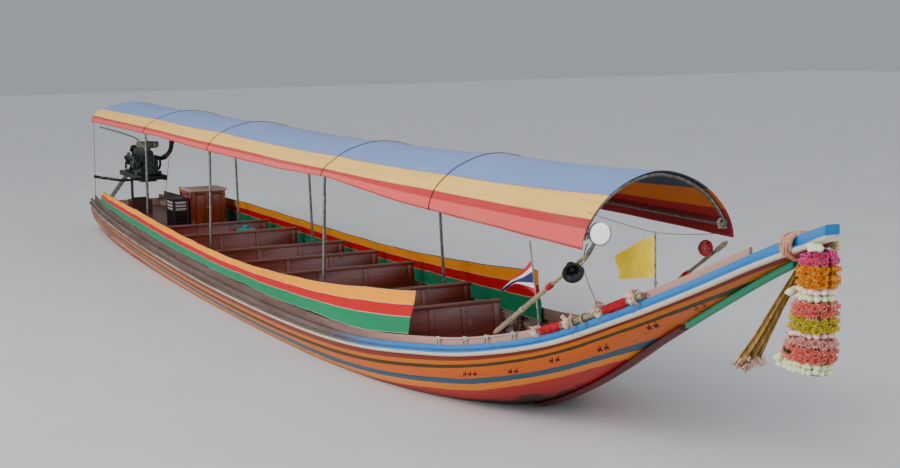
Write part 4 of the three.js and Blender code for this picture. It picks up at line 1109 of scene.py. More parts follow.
def bamboo(name, pale, dark, joint):
    material, tree, shader = new_finish(name, roughness=0.5)
    x = height_of(tree).outputs[0]
    joints = calc(tree, "ABSOLUTE", calc(tree, "SUBTRACT",
                                         calc(tree, "FRACT", calc(tree, "MULTIPLY", x, 4.2)), 0.5))
    ring = ramp(tree, joints, [(0.0, 1.0), (0.035, 0.0)])
    cane = ramp(tree, speckle(tree, object_place(tree, (0.3, 3, 3)), 20, 6), [(0.35, dark), (0.65, pale)])
    tree.links.new(mixed(tree, ring, cane, joint), shader.inputs["Base Color"])
    relief(tree, shader, calc(tree, "ADD", ring, calc(tree, "MULTIPLY",
                                                      speckle(tree, object_place(tree), 60), 0.2)),
           0.002)
    return material


cane = bamboo("bamboo_cane", "a88f6c", "6d5941", "4a3a28")

# %% Hoops
PIPE_RADIUS = 0.013
PIPE_INSET = 0.008 + PIPE_RADIUS + 0.005
LEG_HALF = 0.540
AFT_DECK_TOP, THWART_TOP = 0.250, 0.262
ARCH_DEGREES = (8, 18, 30, 45, 60, 75, 90, 105, 120, 135, 150, 162, 172)


def hoop_line(x, foot):
    arch = [arch_point(x, degrees, PIPE_INSET) for degrees in ARCH_DEGREES]
    if foot is None:
        return smooth_line(arch, 60)
    width, edge = canopy("half_width", x) - PIPE_INSET, canopy("edge", x)
    knee = LEG_HALF + 0.9 * (width - LEG_HALF)
    leg = [[(x, side * LEG_HALF, foot), (x, side * knee, edge - 0.150), (x, side * width, edge - 0.010)]
           for side in (-1, 1)]
    return smooth_line(leg[0] + arch + leg[1][::-1], 110)


feet = {"hoop_a": AFT_DECK_TOP + 0.0009, "hoop_b": THWART_TOP + 0.0009, "hoop_c": THWART_TOP + 0.0009}
for name, x in HOOP_XS.items():
    shapes = [tube(hoop_line(x, feet.get(name)), PIPE_RADIUS, 14)]
    if name == "hoop_a":
        for side in (-1, 1):
            y = canopy("half_width", 2.0) - PIPE_INSET - 0.026
            edge = canopy("edge", 3.0)
            brace = [(x, side * (y + 0.022), edge - 0.330), (3.23, side * y, edge - 0.190),
                     (2.90, side * y, edge - 0.100), (2.20, side * y, edge - 0.062),
                     (0.90, side * y, edge - 0.040)]
            shapes.append(tube(smooth_line(brace, 40), 0.010, 12))
    if name in feet:
        for side in (-1, 1):
            flange = [(0.036, 0.0), (0.036, 0.004), (0.018, 0.006), (0.0165, 0.030), (0.0134, 0.032)]
            shapes.append(lathe(flange, (x, side * LEG_HALF, feet[name] - 0.0004), (0, 0, 1), 20))
    make_piece(f"bent_{name}", together(*shapes), pipe_metal, replaces=[name])

for side, name, degrees in ((-1, "starboard", 14), (1, "port", 166)):
    inset = PIPE_INSET + PIPE_RADIUS + 0.010 + 0.0092
    purlin_xs = np.linspace(CANOPY_AFT_X + 0.012, CANOPY_FORE_X - 0.012, 40)
    line = [arch_point(x, degrees, inset) for x in purlin_xs]
    make_piece(f"purlin_pipe_{name}", tube(line, 0.010, 12), pipe_metal,
               replaces=[f"purlin_{name}"])


# %% [markdown]
# A lashing is a short rope wound many turns round the two pipes that it holds. It is one
# spring-shaped tube with a knot at its end, which reads as rope from a step away.

# %% Lashings
def winding(centre, axis, radius, turns, thickness, spread=None):
    """A spring of rope round an axis."""
    axis = Vector(axis).normalized()
    spin = Vector((0, 0, 1)).rotation_difference(axis).to_matrix()
    spread = spread or turns * thickness * 2.05
    points = []
    for step in range(turns * 12 + 1):
        turn = 2 * math.pi * step / 12
        along = spread * (step / (turns * 12) - 0.5)
        points.append(tuple(Vector(centre) + spin @ Vector((radius * math.cos(turn),
                                                            radius * math.sin(turn), along))))
    return tube(points, thickness, 6)


def knot(centre, size, seed):
    """A small lump of crossed rope."""
    draw = random.Random(seed)
    loops = []
    for _ in range(3):
        axis = Vector((draw.uniform(-1, 1), draw.uniform(-1, 1), draw.uniform(-0.5, 0.5)))
        loops.append(winding(centre, axis, size * draw.uniform(0.6, 0.9), 2, size * 0.28, size * 0.7))
    return together(*loops)


lashings = []
for name, x in HOOP_XS.items():
    for degrees in (14, 166):
        joint = arch_point(x, degrees, PIPE_INSET + 0.014)
        lashings.append(winding(joint, (1, 0, 0), 0.0285, 4, 0.0028))
        lashings.append(knot((x + 0.014, joint[1] * 0.94, joint[2] - 0.022), 0.010, int(x * 100) + degrees))
make_piece("hoop_lashings", together(*lashings), pale_rope)

ropes = []
for name, x in HOOP_XS.items():
    if name in ("hoop_aft", "hoop_front"):
        continue
    line, place, _ = arch_line(x, -0.0035)
    over = [np.array([np.interp(share, place, line[:, axis]) for axis in range(3)])
            + (0.004 * math.sin(share * 40), 0, hem_lift(x, share) - 0.003)
            for share in np.linspace(0.0, 1.0, 70)]
    ropes.append(tube(over, 0.0028, 6))
make_piece("ropes_over_canopy", together(*ropes), dark_cord)
print("lashings:", len(lashings), "ropes over the cloth:", len(ropes))

# %% [markdown]
# The side curtains are bright cloths in three stripes: yellow, red and green. They hang from a
# taut line between the hoop legs, and the cloth falls in slanting folds. The folds are built
# into the mesh: waves that grow towards the foot and lean aft. The curtain to starboard ends on
# its coaming, and the one to port hangs down a little further, inside its coaming.

# %% Side curtains
CURTAIN_AFT = 0.900
CURTAIN_FORE = {-1: 11.100, 1: 10.380}
curtain_top = smooth_line([(0.900, 0.560), (3.400, 0.555), (5.500, 0.515), (7.500, 0.505), (8.700, 0.548),
                           (9.700, 0.606), (10.500, 0.680), (11.100, 0.732)], 120)
TIES = (0.90, 1.75, 2.55, 3.37, 4.30, 5.10, 5.89, 6.75, 7.55, 8.30, 9.06, 9.75, 10.38, 11.10)
curtain_cloth = striped_cloth("curtain_cloth", ["008456", "c80008", "ffa000"], "9a9a9a", "5d5346", "e9e2d2",
                              roughness=0.6, fold_scale=5.0, sheen=0.04)
CURTAIN_STRIPES = {-1: (0.0, 0.40, 0.68, 1.0), 1: (0.0, 0.44, 0.72, 1.0)}
INSIDE_COAMING = 0.105            # how far the curtain to port hangs down inside its coaming
COAMING_CLEAR = 0.0546            # from the widest line of the hull to just inside the coaming
CURTAIN_INSET = 0.032             # from the widest line of the hull to the foot of a curtain
PORT_INSET = 0.028                # how much further inboard the foot of the curtain to port is
CURTAIN_THICKNESS = 0.0018


def curtain_grids(side):
    xs = np.linspace(CURTAIN_AFT, CURTAIN_FORE[side], 270)
    heights = [(band + step / 5) for band in range(3) for step in range(5)] + [2.999]
    outer, inner, strip = [], [], []
    for x in xs:
        foot = hull("gunwale", x) + hull("coaming", x) + 0.0005
        outside = hull("half_beam", x) - CURTAIN_INSET
        lean = min(0.060, outside * 0.09)
        if side > 0:
            foot, outside, lean = foot - INSIDE_COAMING, outside - PORT_INSET, lean - PORT_INSET
        top = float(np.interp(x, curtain_top[:, 0], curtain_top[:, 1])) - sag_at(x, TIES, 0.016)
        row, back = [], []
        for height in heights:
            share = float(np.interp(height, (0, 1, 2, 3), CURTAIN_STRIPES[side]))
            slant = x + 0.55 * share
            fold = noise.noise(Vector((slant * 1.9, share * 0.8, 7.7 * side)))
            crease = abs(noise.noise(Vector((slant * 3.6 + 11, share * 1.1, 2.3 * side)))) - 0.2
            nearest = min(abs(slant - 0.18 - tie) for tie in TIES)
            pull = math.exp(-(nearest / 0.060) ** 2) * math.sin(math.pi * min(1.0, share + 0.12))
            amount = (1 - 0.55 * share) * (0.013 * fold + 0.014 * crease) + 0.010 * pull
            drop = (1 - share) ** 2 * 0.010 * noise.noise(Vector((x * 1.1, 4.0, side)))
            y = outside - lean * share - 0.006 + amount
            if side > 0:
                y = min(y, hull("half_beam", x) - COAMING_CLEAR)
            z = foot + share * (top - foot) + drop + 0.006 * (1 - share)
            row.append((x, side * y, z))
            back.append((x, side * (y - CURTAIN_THICKNESS), z))
            strip.append((x, height))
        outer.append(row)
        inner.append(back)
    return outer, inner, strip


for side, name in ((-1, "starboard"), (1, "port")):
    outer, inner, strip = curtain_grids(side)
    vertices, faces, which = shell(outer, inner)
    curtain = make_piece(f"side_curtain_{name}", (vertices, faces), curtain_cloth,
                         strip=strip * 2, replaces=[f"curtain_{name}"], flat_under=60)
    line = [(row[-1][0], row[-1][1] - side * 0.001, row[-1][2] + 0.002) for row in outer[::4]]
    make_piece(f"curtain_line_{name}", tube(line, 0.0032, 6), dark_cord)
print("curtain height amidships:", round(0.505 - hull("gunwale", 7.5) - hull("coaming", 7.5), 3))

# %% [markdown]
# A cabinet and a slatted locker stand by the engine. A cabinet door is a frame around a thinner
# panel, so its light edges and shadow lines come from real steps of a few millimetres, not
# from a drawn line. The top board is a paler, pinkish wood that overhangs on all sides.

# %% Cabinet
cabinet_varnish = varnish("cabinet_varnish", "8e3614", "521c0c", "z", roughness=0.28)
pale_top = peeling_paint("pale_cabinet_top", "e3b8a6", "b07a68", 0.30, 7.0)
brass = metal("worn_brass", "b08d4a", "6f5426", "4a3a20", metallic=0.9, rusting=0.66)


def framed_door(face, low, high, frame, along="y"):
    """Four frame boards and a set-back panel on an upright face. along is the axis that it spans."""
    (a0, z0), (a1, z1) = low, high
    depth, panel = face

    def put(start, end, near, far):
        corner0 = (near, start[0], start[1]) if along == "y" else (start[0], near, start[1])
        corner1 = (far, end[0], end[1]) if along == "y" else (end[0], far, end[1])
        return block([min(p) for p in zip(corner0, corner1)], [max(p) for p in zip(corner0, corner1)])

    near, far = depth
    return [put((a0, z0), (a0 + frame, z1), near, far), put((a1 - frame, z0), (a1, z1), near, far),
            put((a0 + frame, z0), (a1 - frame, z0 + frame), near, far),
            put((a0 + frame, z1 - frame), (a1 - frame, z1), near, far),
            put((a0 + frame + 0.001, z0 + frame + 0.001), (a1 - frame - 0.001, z1 - frame - 0.001), near,
                panel)]


shapes = [block((2.606, 0.086, 0.2503), (2.990, 0.494, 0.689))]
for y0, y1 in ((0.090, 0.2885), (0.2915, 0.490)):
    shapes += framed_door(((2.9905, 3.0), 2.994), (y0, 0.262), (y1, 0.682), 0.036)
shapes += framed_door(((0.0855, 0.080), 0.083), (2.610, 0.262), (2.986, 0.682), 0.045, "x")
shapes += framed_door(((0.4945, 0.500), 0.497), (2.610, 0.262), (2.986, 0.682), 0.045, "x")
shapes += framed_door(((2.6055, 2.600), 2.603), (0.090, 0.262), (0.490, 0.682), 0.045)
make_piece("cabinet_body", together(*shapes), cabinet_varnish, rounding=0.0018,
           replaces=["cabinet"])
make_piece("cabinet_top_board", together(block((2.585, 0.065, 0.6895), (3.020, 0.515, 0.715))), pale_top,
           rounding=0.004)
knobs = [lathe([(0.005, 0), (0.005, 0.008), (0.011, 0.012), (0.012, 0.018), (0.008, 0.022), (0.001, 0.023)],
               (3.0003, y, 0.50), (1, 0, 0), 16) for y in (0.272, 0.308)]
hinges = [block((2.998, y - 0.012, z - 0.018), (3.0022, y + 0.012, z + 0.018)) for y in (0.098, 0.482)
          for z in (0.33, 0.61)]
make_piece("cabinet_fittings", together(*knobs, *hinges), brass)

# %% [markdown]
# The locker has slats with gaps between them, so that the battery inside gets air. Three slats
# are white and the rest are dark. Each slat is a board turned a little about its own length.

# %% Slatted locker
dark_wood = varnish("dark_locker_wood", "2c2228", "16100f", "z", roughness=0.45, worn="5d4c48")
white_slat = peeling_paint("white_slat_paint", "dfe0e2", "8b827c", 0.36, 12)
low, high = Vector((2.650, -0.130, 0.2503)), Vector((2.950, 0.060, 0.610))
posts = [block((x, y, low.z), (x + 0.028, y + 0.028, high.z - 0.018)) for x in (low.x, high.x - 0.028)
         for y in (low.y, high.y - 0.028)]
inside = block((low.x + 0.020, low.y + 0.020, low.z + 0.01),
               (high.x - 0.020, high.y - 0.020, high.z - 0.02))
lid = block((low.x, low.y, high.z - 0.018), (high.x, high.y, high.z))
slats, white_slats = [], []
for step in range(8):
    z = low.z + 0.028 + step * 0.039
    group = white_slats if step in (5, 6, 7) else slats
    group.append(block((low.x + 0.029, low.y + 0.004, z), (high.x - 0.029, low.y + 0.010, z + 0.026),
                       (low.x, low.y + 0.007, z + 0.013), math.radians(20), "X"))
    group.append(block((high.x - 0.010, low.y + 0.029, z), (high.x - 0.004, high.y - 0.029, z + 0.026),
                       (high.x - 0.007, low.y, z + 0.013), math.radians(20), "Y"))
make_piece("locker_body", together(*posts, inside, lid, *slats), dark_wood,
           rounding=0.0015, replaces=["slatted_locker"])
make_piece("locker_white_slats", together(*white_slats), white_slat, rounding=0.001)

# %% [markdown]
# The jug is blown green plastic: a turned body with soft ribs, a handle and a screw cap. A thin
# plastic lets some light through, which the shader does with a little subsurface colour.

# %% Jug
green_plastic, tree, shader = new_finish("green_plastic", roughness=0.34)
mottle = speckle(tree, object_place(tree), 18, 4)
tree.links.new(ramp(tree, mottle, [(0.3, "0a7d66"), (0.7, "12a386")]), shader.inputs["Base Color"])
shader.inputs["Subsurface Weight"].default_value = 0.12
relief(tree, shader, mottle, 0.0008)
JUG = Vector((4.440, 0.290, 0.2003))
profile = [(0.001, 0.0), (0.100, 0.0), (0.118, 0.004), (0.125, 0.014), (0.125, 0.040), (0.122, 0.046),
           (0.125, 0.052), (0.125, 0.092), (0.122, 0.098), (0.125, 0.104), (0.125, 0.150), (0.121, 0.166),
           (0.104, 0.184), (0.078, 0.194), (0.048, 0.200), (0.045, 0.206), (0.001, 0.206)]
handle = smooth_line([JUG + Vector(p) for p in ((-0.075, 0, 0.190), (-0.062, 0, 0.215), (-0.045, 0, 0.220),
                                                (-0.038, 0, 0.205))], 16)
make_piece("plastic_jug", together(lathe(profile, JUG, (0, 0, 1), 40), tube(handle, 0.007, 10)),
           green_plastic, replaces=["jug"])
cap_plastic, tree, shader = new_finish("blue_cap_plastic", roughness=0.4)
tree.links.new(ramp(tree, speckle(tree, object_place(tree), 30), [(0.3, "1d6fa8"), (0.7, "2f8ac4")]),
               shader.inputs["Base Color"])
make_piece("jug_cap", lathe([(0.001, 0.0), (0.034, 0.0), (0.036, 0.003), (0.036, 0.016), (0.031, 0.021),
                             (0.001, 0.022)], JUG + Vector((0, 0, 0.2062)), (0, 0, 1), 28), cap_plastic)

# %% [markdown]
# The headlamp is a chromed bowl with a bright rim, a mirror inside and a fluted glass. The
# glass glows faintly, painted light for the light that it catches. The horn is a black flared
# trumpet, and the red lamp is a ribbed lens on a short housing. All are turned pieces, drawn as
# profiles and spun round their axis.

# %% Lamps and horn
chrome = metal("lamp_chrome", "8f9194", "6a6d70", "4d3c2e", roughness=0.16, metallic=1.0, rusting=0.68)
black_metal = metal("black_enamel", "2a2b2e", "151618", "4d3527", roughness=0.35, metallic=0.3,
                    rusting=0.66)
mirror, tree, shader = new_finish("lamp_mirror", roughness=0.25, metallic=0.35)
tree.links.new(ramp(tree, speckle(tree, object_place(tree), 60, 2), [(0.3, "eceff2"), (0.7, "ffffff")]),
               shader.inputs["Base Color"])
lens_glass, tree, shader = new_finish("fluted_lens", roughness=0.08)
shader.inputs["Transmission Weight"].default_value = 0.20
# The glass glows faintly though the lamp is off: painted light for the light that it catches.
shader.inputs["Emission Color"].default_value = (1.0, 0.98, 0.95, 1)
shader.inputs["Emission Strength"].default_value = 0.45
flutes = add_node(tree, "ShaderNodeTexWave", {"Vector": object_place(tree), "Scale": 22.0},
                  bands_direction="Y").outputs[1]
tree.links.new(ramp(tree, flutes, [(0.0, "e9eef2"), (1.0, "ffffff")]), shader.inputs["Base Color"])
relief(tree, shader, flutes, 0.002)

LAMP, LAMP_LOOK = Vector((13.300, -0.500, 1.350)), Vector((1, -0.1, 0.05))
bowl = [(0.001, -0.056), (0.014, -0.055), (0.030, -0.051), (0.046, -0.038), (0.057, -0.020),
        (0.0625, -0.002),
        (0.0655, 0.000), (0.066, 0.008), (0.0655, 0.0125), (0.061, 0.0135), (0.060, 0.006), (0.056, -0.006),
        (0.040, -0.030), (0.001, -0.046)]
make_piece("headlamp_bowl", lathe(bowl, LAMP, LAMP_LOOK, 48), chrome,
           replaces=["headlamp"])
glass = [(0.001, 0.0185), (0.025, 0.0175), (0.045, 0.0150), (0.0595, 0.0110), (0.0595, 0.0085),
         (0.040, 0.0115), (0.001, 0.0145)]
make_piece("headlamp_glass", lathe(glass, LAMP, LAMP_LOOK, 48), lens_glass)
dish = [(0.001, -0.030), (0.020, -0.026), (0.038, -0.012), (0.0525, 0.0055), (0.0525, 0.0070),
        (0.036, -0.008), (0.001, -0.027)]
make_piece("headlamp_mirror", lathe(dish, LAMP, LAMP_LOOK, 40), mirror)
bracket = smooth_line([(13.1202, -0.470, 1.2111), (13.180, -0.482, 1.253), (13.262, -0.498, 1.309)], 16)
bracket_parts = [tube(bracket, 0.0105, 12),
                 winding((13.150, -0.476, 1.232), (0.81, -0.16, 0.56), 0.0125, 5, 0.0022)]
for end in (-1, 1):
    side_bolt = LAMP + Vector((-0.010, end * 0.0635, -0.012))
    bracket_parts.append(lathe([(0.008, 0), (0.008, 0.006), (0.001, 0.007)], side_bolt, (0, end, 0), 6))
make_piece("headlamp_bracket", together(*bracket_parts), pipe_metal)

HORN, HORN_LOOK = Vector((13.060, -0.5344, 1.119)), Vector((1, -0.4, -0.3))
flare = [(0.001, -0.070), (0.024, -0.069), (0.027, -0.062), (0.027, -0.034), (0.019, -0.030),
         (0.020, -0.016),
         (0.027, 0.004), (0.042, 0.022), (0.060, 0.0335), (0.062, 0.036), (0.0595, 0.0355), (0.040, 0.0245),
         (0.024, 0.006), (0.015, -0.014), (0.001, -0.020)]
horn_arm = smooth_line([(13.045, -0.505, 1.120), (13.035, -0.478, 1.135), (13.020, -0.4715, 1.150)], 10)
make_piece("horn_trumpet", together(lathe(flare, HORN, HORN_LOOK, 40), tube(horn_arm, 0.006, 8)),
           black_metal, replaces=["horn"])

red_lens, tree, shader = new_finish("red_lens", roughness=0.15)
shader.inputs["Transmission Weight"].default_value = 0.25
rings_wave = add_node(tree, "ShaderNodeTexWave", {"Vector": object_place(tree), "Scale": 28.0},
                      bands_direction="Z").outputs[1]
tree.links.new(ramp(tree, rings_wave, [(0.0, "8d0a10"), (1.0, "d3121c")]), shader.inputs["Base Color"])
relief(tree, shader, rings_wave, 0.0015)
RED_LAMP, RED_LOOK = Vector((12.985, 0.414, 1.164)), Vector((1, 0, 0.1))
make_piece("red_lamp_lens", lathe([(0.047, 0.001), (0.049, 0.003), (0.048, 0.008), (0.040, 0.0135),
                                   (0.022, 0.017),
                                   (0.001, 0.018), ], RED_LAMP, RED_LOOK, 40), red_lens)
make_piece("red_lamp_body", lathe([(0.001, -0.040), (0.028, -0.0395), (0.031, -0.036), (0.042, -0.018),
                                   (0.0495, -0.003), (0.050, 0.0), (0.047, 0.0008), (0.001, 0.0005)],
                                  RED_LAMP, RED_LOOK, 40), black_metal,
           replaces=["red_lamp"])

# %% [markdown]
# Two raking struts carry the front corners of the canopy. They are bamboo canes, and a pale
# rope is wound round the lower half of the starboard one. Cloth strips are tied on as well.

# %% Front struts


def coaming_top(x):
    return hull("gunwale", x) + hull("coaming", x) + 0.0003


def coaming_y(x):
    return hull("half_beam", x) - 0.0403


red_cloth, tree, shader = new_finish("red_tie_cloth", roughness=0.85, specular=0.2)
folds = speckle(tree, object_place(tree, (1, 2, 2)), 30, 5, 0.6)
# The red is the cloth's own; the ramp follows the fold relief, so the hollows are darker and the ridges
# paler: painted shade and light of the folds.
tree.links.new(ramp(tree, folds, [(0.3, "8a0c18"), (0.7, "c4202c")]), shader.inputs["Base Color"])
relief(tree, shader, folds, 0.003)
pale_cloth, tree, shader = new_finish("pale_tie_cloth", roughness=0.9, specular=0.2)
folds = speckle(tree, object_place(tree), 34, 5, 0.6)
# The pale pink is the cloth's own; the ramp follows the fold relief, so the hollows are darker and the
# ridges paler: painted shade and light of the folds.
tree.links.new(ramp(tree, folds, [(0.3, "c79e8b"), (0.7, "ead2c2")]), shader.inputs["Base Color"])
relief(tree, shader, folds, 0.003)


def wound_cloth(start, end, radius, seed, rings=22, sides=18):
    """A cloth wound round a bar: a tube with slanting folds, thin at both ends."""
    line = [np.array(start) + (np.array(end) - np.array(start)) * share
            for share in np.linspace(0, 1, rings)]
    vertices, faces = tube(line, radius, sides)
    vertices = np.array(vertices)
    for ring in range(rings):
        share = ring / (rings - 1)
        swell = 0.80 + 0.24 * math.sin(math.pi * share) ** 0.5
        for side in range(sides):
            fold = noise.noise(Vector((share * 5 + side * 0.35, seed, side * 0.5)))
            index = ring * sides + side
            vertices[index] = line[ring] + (vertices[index] - line[ring]) * (swell + 0.16 * fold)
    return vertices, faces


STRUT_FOOT_X, STRUT_TOP_X = 12.026, 13.118
for side, name in ((-1, "starboard"), (1, "port")):
    foot = np.array((STRUT_FOOT_X, side * coaming_y(STRUT_FOOT_X),
                     coaming_top(STRUT_FOOT_X + 0.008) + 0.0141))
    top = np.array((STRUT_TOP_X, side * (canopy("half_width", STRUT_TOP_X) - 0.040),
                    canopy("edge", STRUT_TOP_X) - 0.034))
    line = [foot + (top - foot) * share for share in np.linspace(0, 1, 24)]
    swell = [0.0108 if index % 6 else 0.0122 for index in range(24)]
    make_piece(f"front_strut_cane_{name}", tube(line, swell, 14), cane,
               replaces=[f"front_strut_{name}"])
    along = top - foot
    ties = []
    spans = ((0.02, 0.30), (0.34, 0.52)) if side < 0 else ((0.03, 0.10), (0.90, 0.96))
    for first, last in spans:
        middle = foot + along * (first + last) / 2
        length = float(np.linalg.norm(along)) * (last - first)
        ties.append(winding(middle, along, 0.0132, max(5, int(length / 0.024)), 0.0032, length))
    ties += [knot(foot + along * share, 0.017, 40 + index + side)
             for index, share in enumerate((0.32, 0.55, 0.97))]
    make_piece(f"front_strut_ropes_{name}", together(*ties), pale_rope)
    bows = [wound_cloth(foot + along * (share - 0.025), foot + along * (share + 0.025), 0.018, side + share)
            for share in ((0.62, 0.80) if side < 0 else (0.60,))]
    make_piece(f"front_strut_cloth_ties_{name}", together(*bows), red_cloth)

# %% [markdown]
# The fender pole is lashed along the starboard coaming. Red cloth is wound round it in two
# places with pale cloth knots beside each, and a thin white cord runs aft from it along the
# outside of the coaming, tied at four places.

# %% Fender pole and cord along the coaming
pole_xs = np.linspace(12.40, 13.30, 30)
pole_line = np.array([(x, -(hull("half_beam", x) - 0.0058),
                       hull("gunwale", x) + hull("washboard", x) + 0.0246)
                      for x in pole_xs])
pole_radii = [0.0205 + (0.0015 if index % 7 == 0 else 0) for index in range(30)]
make_piece("fender_pole_cane", tube(pole_line, pole_radii, 16), cane,
           replaces=["fender_pole"])


def on_pole(x):
    return np.array([np.interp(x, pole_xs, pole_line[:, axis]) for axis in range(3)])


make_piece("fender_pole_red_cloth", together(wound_cloth(on_pole(12.475), on_pole(12.64), 0.028, 3.0),
                                             wound_cloth(on_pole(12.99), on_pole(13.18), 0.028, 8.0)),
           red_cloth)


def cloth_tuft(centre, size, seed):
    """The free ends of a knotted cloth: small crumpled petals around a centre."""
    draw = random.Random(seed)
    vertices, faces = [], []
    for _ in range(7):
        direction = Vector((draw.uniform(-1, 1), draw.uniform(-1, 1), draw.uniform(-0.3, 1))).normalized()
        across = direction.orthogonal().normalized()
        across.rotate(Matrix.Rotation(draw.uniform(0, 6.28), 3, direction))
        start = len(vertices)
        for step in range(4):
            share = step / 3
            width = size * (0.12 + 0.42 * share)
            for edge in (-1, 0, 1):
                curl = direction.cross(across) * size * 0.22 * math.sin(3 * share + edge * 1.7)
                vertices.append(tuple(Vector(centre) + direction * size * (0.2 + 0.8 * share)
                                      + across * width * edge + curl * (0.3 + share)))
        faces += grid_faces(4, 3, start)
    return vertices, faces


tufts = []
for index, x in enumerate((12.435, 12.690, 12.950, 13.225)):
    place = on_pole(x)
    tufts.append(knot(place, 0.034, 60 + index))
    tufts.append(cloth_tuft(place + (0, 0, 0.012), 0.050, 70 + index))
make_piece("fender_pole_knots", together(*tufts), pale_cloth, tidy=False)
lash_places = [12.76, 12.84, 13.27]
make_piece("fender_pole_lashings", together(*[winding(on_pole(x) - (0, 0, 0.012), (1, 0, 0.5), 0.0365, 3,
                                                      0.0026)
                                              for x in lash_places]), pale_rope)

cord_xs = np.linspace(11.46, 12.24, 40)
TIED = (11.48, 11.76, 11.97, 12.21)
cord_line = [(x, -(hull("half_beam", x) - 0.0262), coaming_top(x) - 0.006 - sag_at(x, TIED, 0.008))
             for x in cord_xs]
coaming_ties = [tube(cord_line, 0.0042, 8)]
for index, x in enumerate(TIED):
    place = (x, -(hull("half_beam", x) - 0.026), coaming_top(x) - 0.008)
    for turn in (-0.016, 0.016):
        coaming_ties.append(knot((x + turn, place[1], place[2]), 0.013, 80 + index + int(turn * 500)))
        coaming_ties.append(tube(smooth_line([(x + turn, place[1], place[2]),
                                              (x + turn, place[1] - 0.008, place[2] - 0.018),
                                              (x + turn * 1.4, place[1] - 0.004, place[2] - 0.038)], 8),
                                 0.0040, 6))
make_piece("coaming_cord", together(*coaming_ties), white_cord)

# %% [markdown]
# A flag hangs from its hoist edge and its free end drops. The two edges of the cloth are curves,
# the points between them are spread evenly, and folds grow from the pole to the free end.

# %% Flags
yellow_cloth, tree, shader = new_finish("yellow_flag_cloth", roughness=0.7, specular=0.2)
shader.inputs["Sheen Weight"].default_value = 0.2
tone = speckle(tree, object_place(tree), 9, 4)
tree.links.new(ramp(tree, tone, [(0.3, "e0b800"), (0.7, "f8dc00")]), shader.inputs["Base Color"])
woven(tree, shader, speckle(tree, object_place(tree), 11, 3))
flag_stripes, tree, shader = new_finish("striped_flag_cloth", roughness=0.75, specular=0.2)
_, height = strip_place(tree)
tree.links.new(ramp(tree, height, [(0.0, "c32233"), (0.167, "e8e4de"), (0.333, "28345f"), (0.667, "e8e4de"),
                                   (0.833, "c32233")], steps=True), shader.inputs["Base Color"])
woven(tree, shader, speckle(tree, object_place(tree), 11, 3))
pole_metal = metal("flag_pole_wire", "a39d92", "6f6a62", "5a3c28", metallic=0.5)


def flag(name, node, foot_x, tip, top_edge, foot_edge, folds, depth, finish):
    """A cloth between two edges, drawn from the pole outward, on a pole from the coaming to its tip."""
    y = -coaming_y(foot_x)
    foot = (foot_x, y, coaming_top(foot_x + 0.006))
    lean = np.subtract((tip[0], y, tip[1]), foot)
    pole = tube([foot, np.add(foot, lean / 2), np.add(foot, lean)], 0.0055, 10)
    make_piece(f"{name}_pole", together(pole, winding(np.add(foot, lean * 0.08), lean, 0.0075, 6, 0.002)),
               pole_metal)
    tops, feet = smooth_line(top_edge, 40), smooth_line(foot_edge, 40)
    outer, inner, strip = [], [], []
    for step, (top, low) in enumerate(zip(tops, feet)):
        along = step / 40
        row, back = [], []
        for up in np.linspace(0, 1, 25):
            wave = depth * along ** 0.6 * math.sin(2 * math.pi * (folds * up + 0.9 * along) + 0.6)
            x, z = low + (top - low) * up
            row.append((x - 0.0052, y + wave, z))
            back.append((x - 0.0052, y + wave + 0.0008, z))
            strip.append((along, up))
        outer.append(row)
        inner.append(back)
    vertices, faces, _ = shell(outer, inner)
    cloth = make_piece(name, (vertices, faces), finish, strip=strip * 2, replaces=[node],
                       flat_under=70)
    return cloth


flag("yellow_pennant", "yellow_flag", 13.355, (13.355, 1.345),
     [(13.355, 1.318), (13.235, 1.287), (13.09, 1.222), (12.950, 1.163)],
     [(13.355, 1.093), (13.235, 1.070), (13.10, 1.046), (12.978, 1.028)], 0.9, 0.009, yellow_cloth)
flag("striped_pennant", "small_flag", 12.412, (12.300, 1.190),
     [(12.328, 1.080), (12.20, 0.990), (12.06, 0.915), (11.932, 0.843)],
     [(12.376, 0.866), (12.25, 0.893), (12.130, 0.900), (11.928, 0.817)], 1.2, 0.011, flag_stripes)

# %% [markdown]
# Thin lines stay the poles and the canopy: from the starboard corner of the canopy to the tip
# of the yellow flag's pole and on to the port corner, and down from the corners to the coaming.

# %% Light lines at the front
lines = []


def stay(start, end, radius=0.0018, sag=0.01):
    start, end = np.array(start, float), np.array(end, float)
    points = [start + (end - start) * s - (0, 0, sag * 4 * s * (1 - s)) for s in np.linspace(0, 1, 12)]
    return tube(points, radius, 6)


pole_tip = (13.355, -coaming_y(13.355), 1.338)
lines.append(stay((13.09, -0.452, 1.445), pole_tip, sag=0.006))
lines.append(stay(pole_tip, (13.09, 0.478, 1.262), sag=0.010))
lines.append(stay((13.262, -0.498, 1.300), (13.062, -0.505, 1.140), 0.0024, 0.03))
tied_x = 12.95
knot_place = (tied_x, -(hull("half_beam", tied_x) - 0.0058),
              hull("gunwale", tied_x) + hull("washboard", tied_x) + 0.050)
lines.append(stay((13.05, -0.470, 1.165), knot_place, 0.0022, 0.02))
lines.append(stay((13.075, -0.470, 1.185), (13.12, -0.470, 1.27), 0.003, -0.01))
for side in (-1, 1):
    aft = arch_point(0.66, 8 if side < 0 else 172, PIPE_INSET)
    lines.append(stay((0.66, aft[1], aft[2] - 0.012), (0.30, side * coaming_y(0.30), coaming_top(0.30)),
                      0.003, 0.012))
make_piece("light_stays", together(*lines), dark_cord)
print("stays:", len(lines))

# %% [markdown]
# The prow is honoured with a cloth wound round it, a long sash and strings of flowers. The wrap
# is a gathered band: its rings go round the timber with small folds, tilted forward at the top.

# %% Prow wrap
wrap_cloth, tree, shader = new_finish("peach_wrap_cloth", roughness=0.85, specular=0.2)
folds = speckle(tree, object_place(tree, (1, 2, 2)), 16, 5, 0.6)
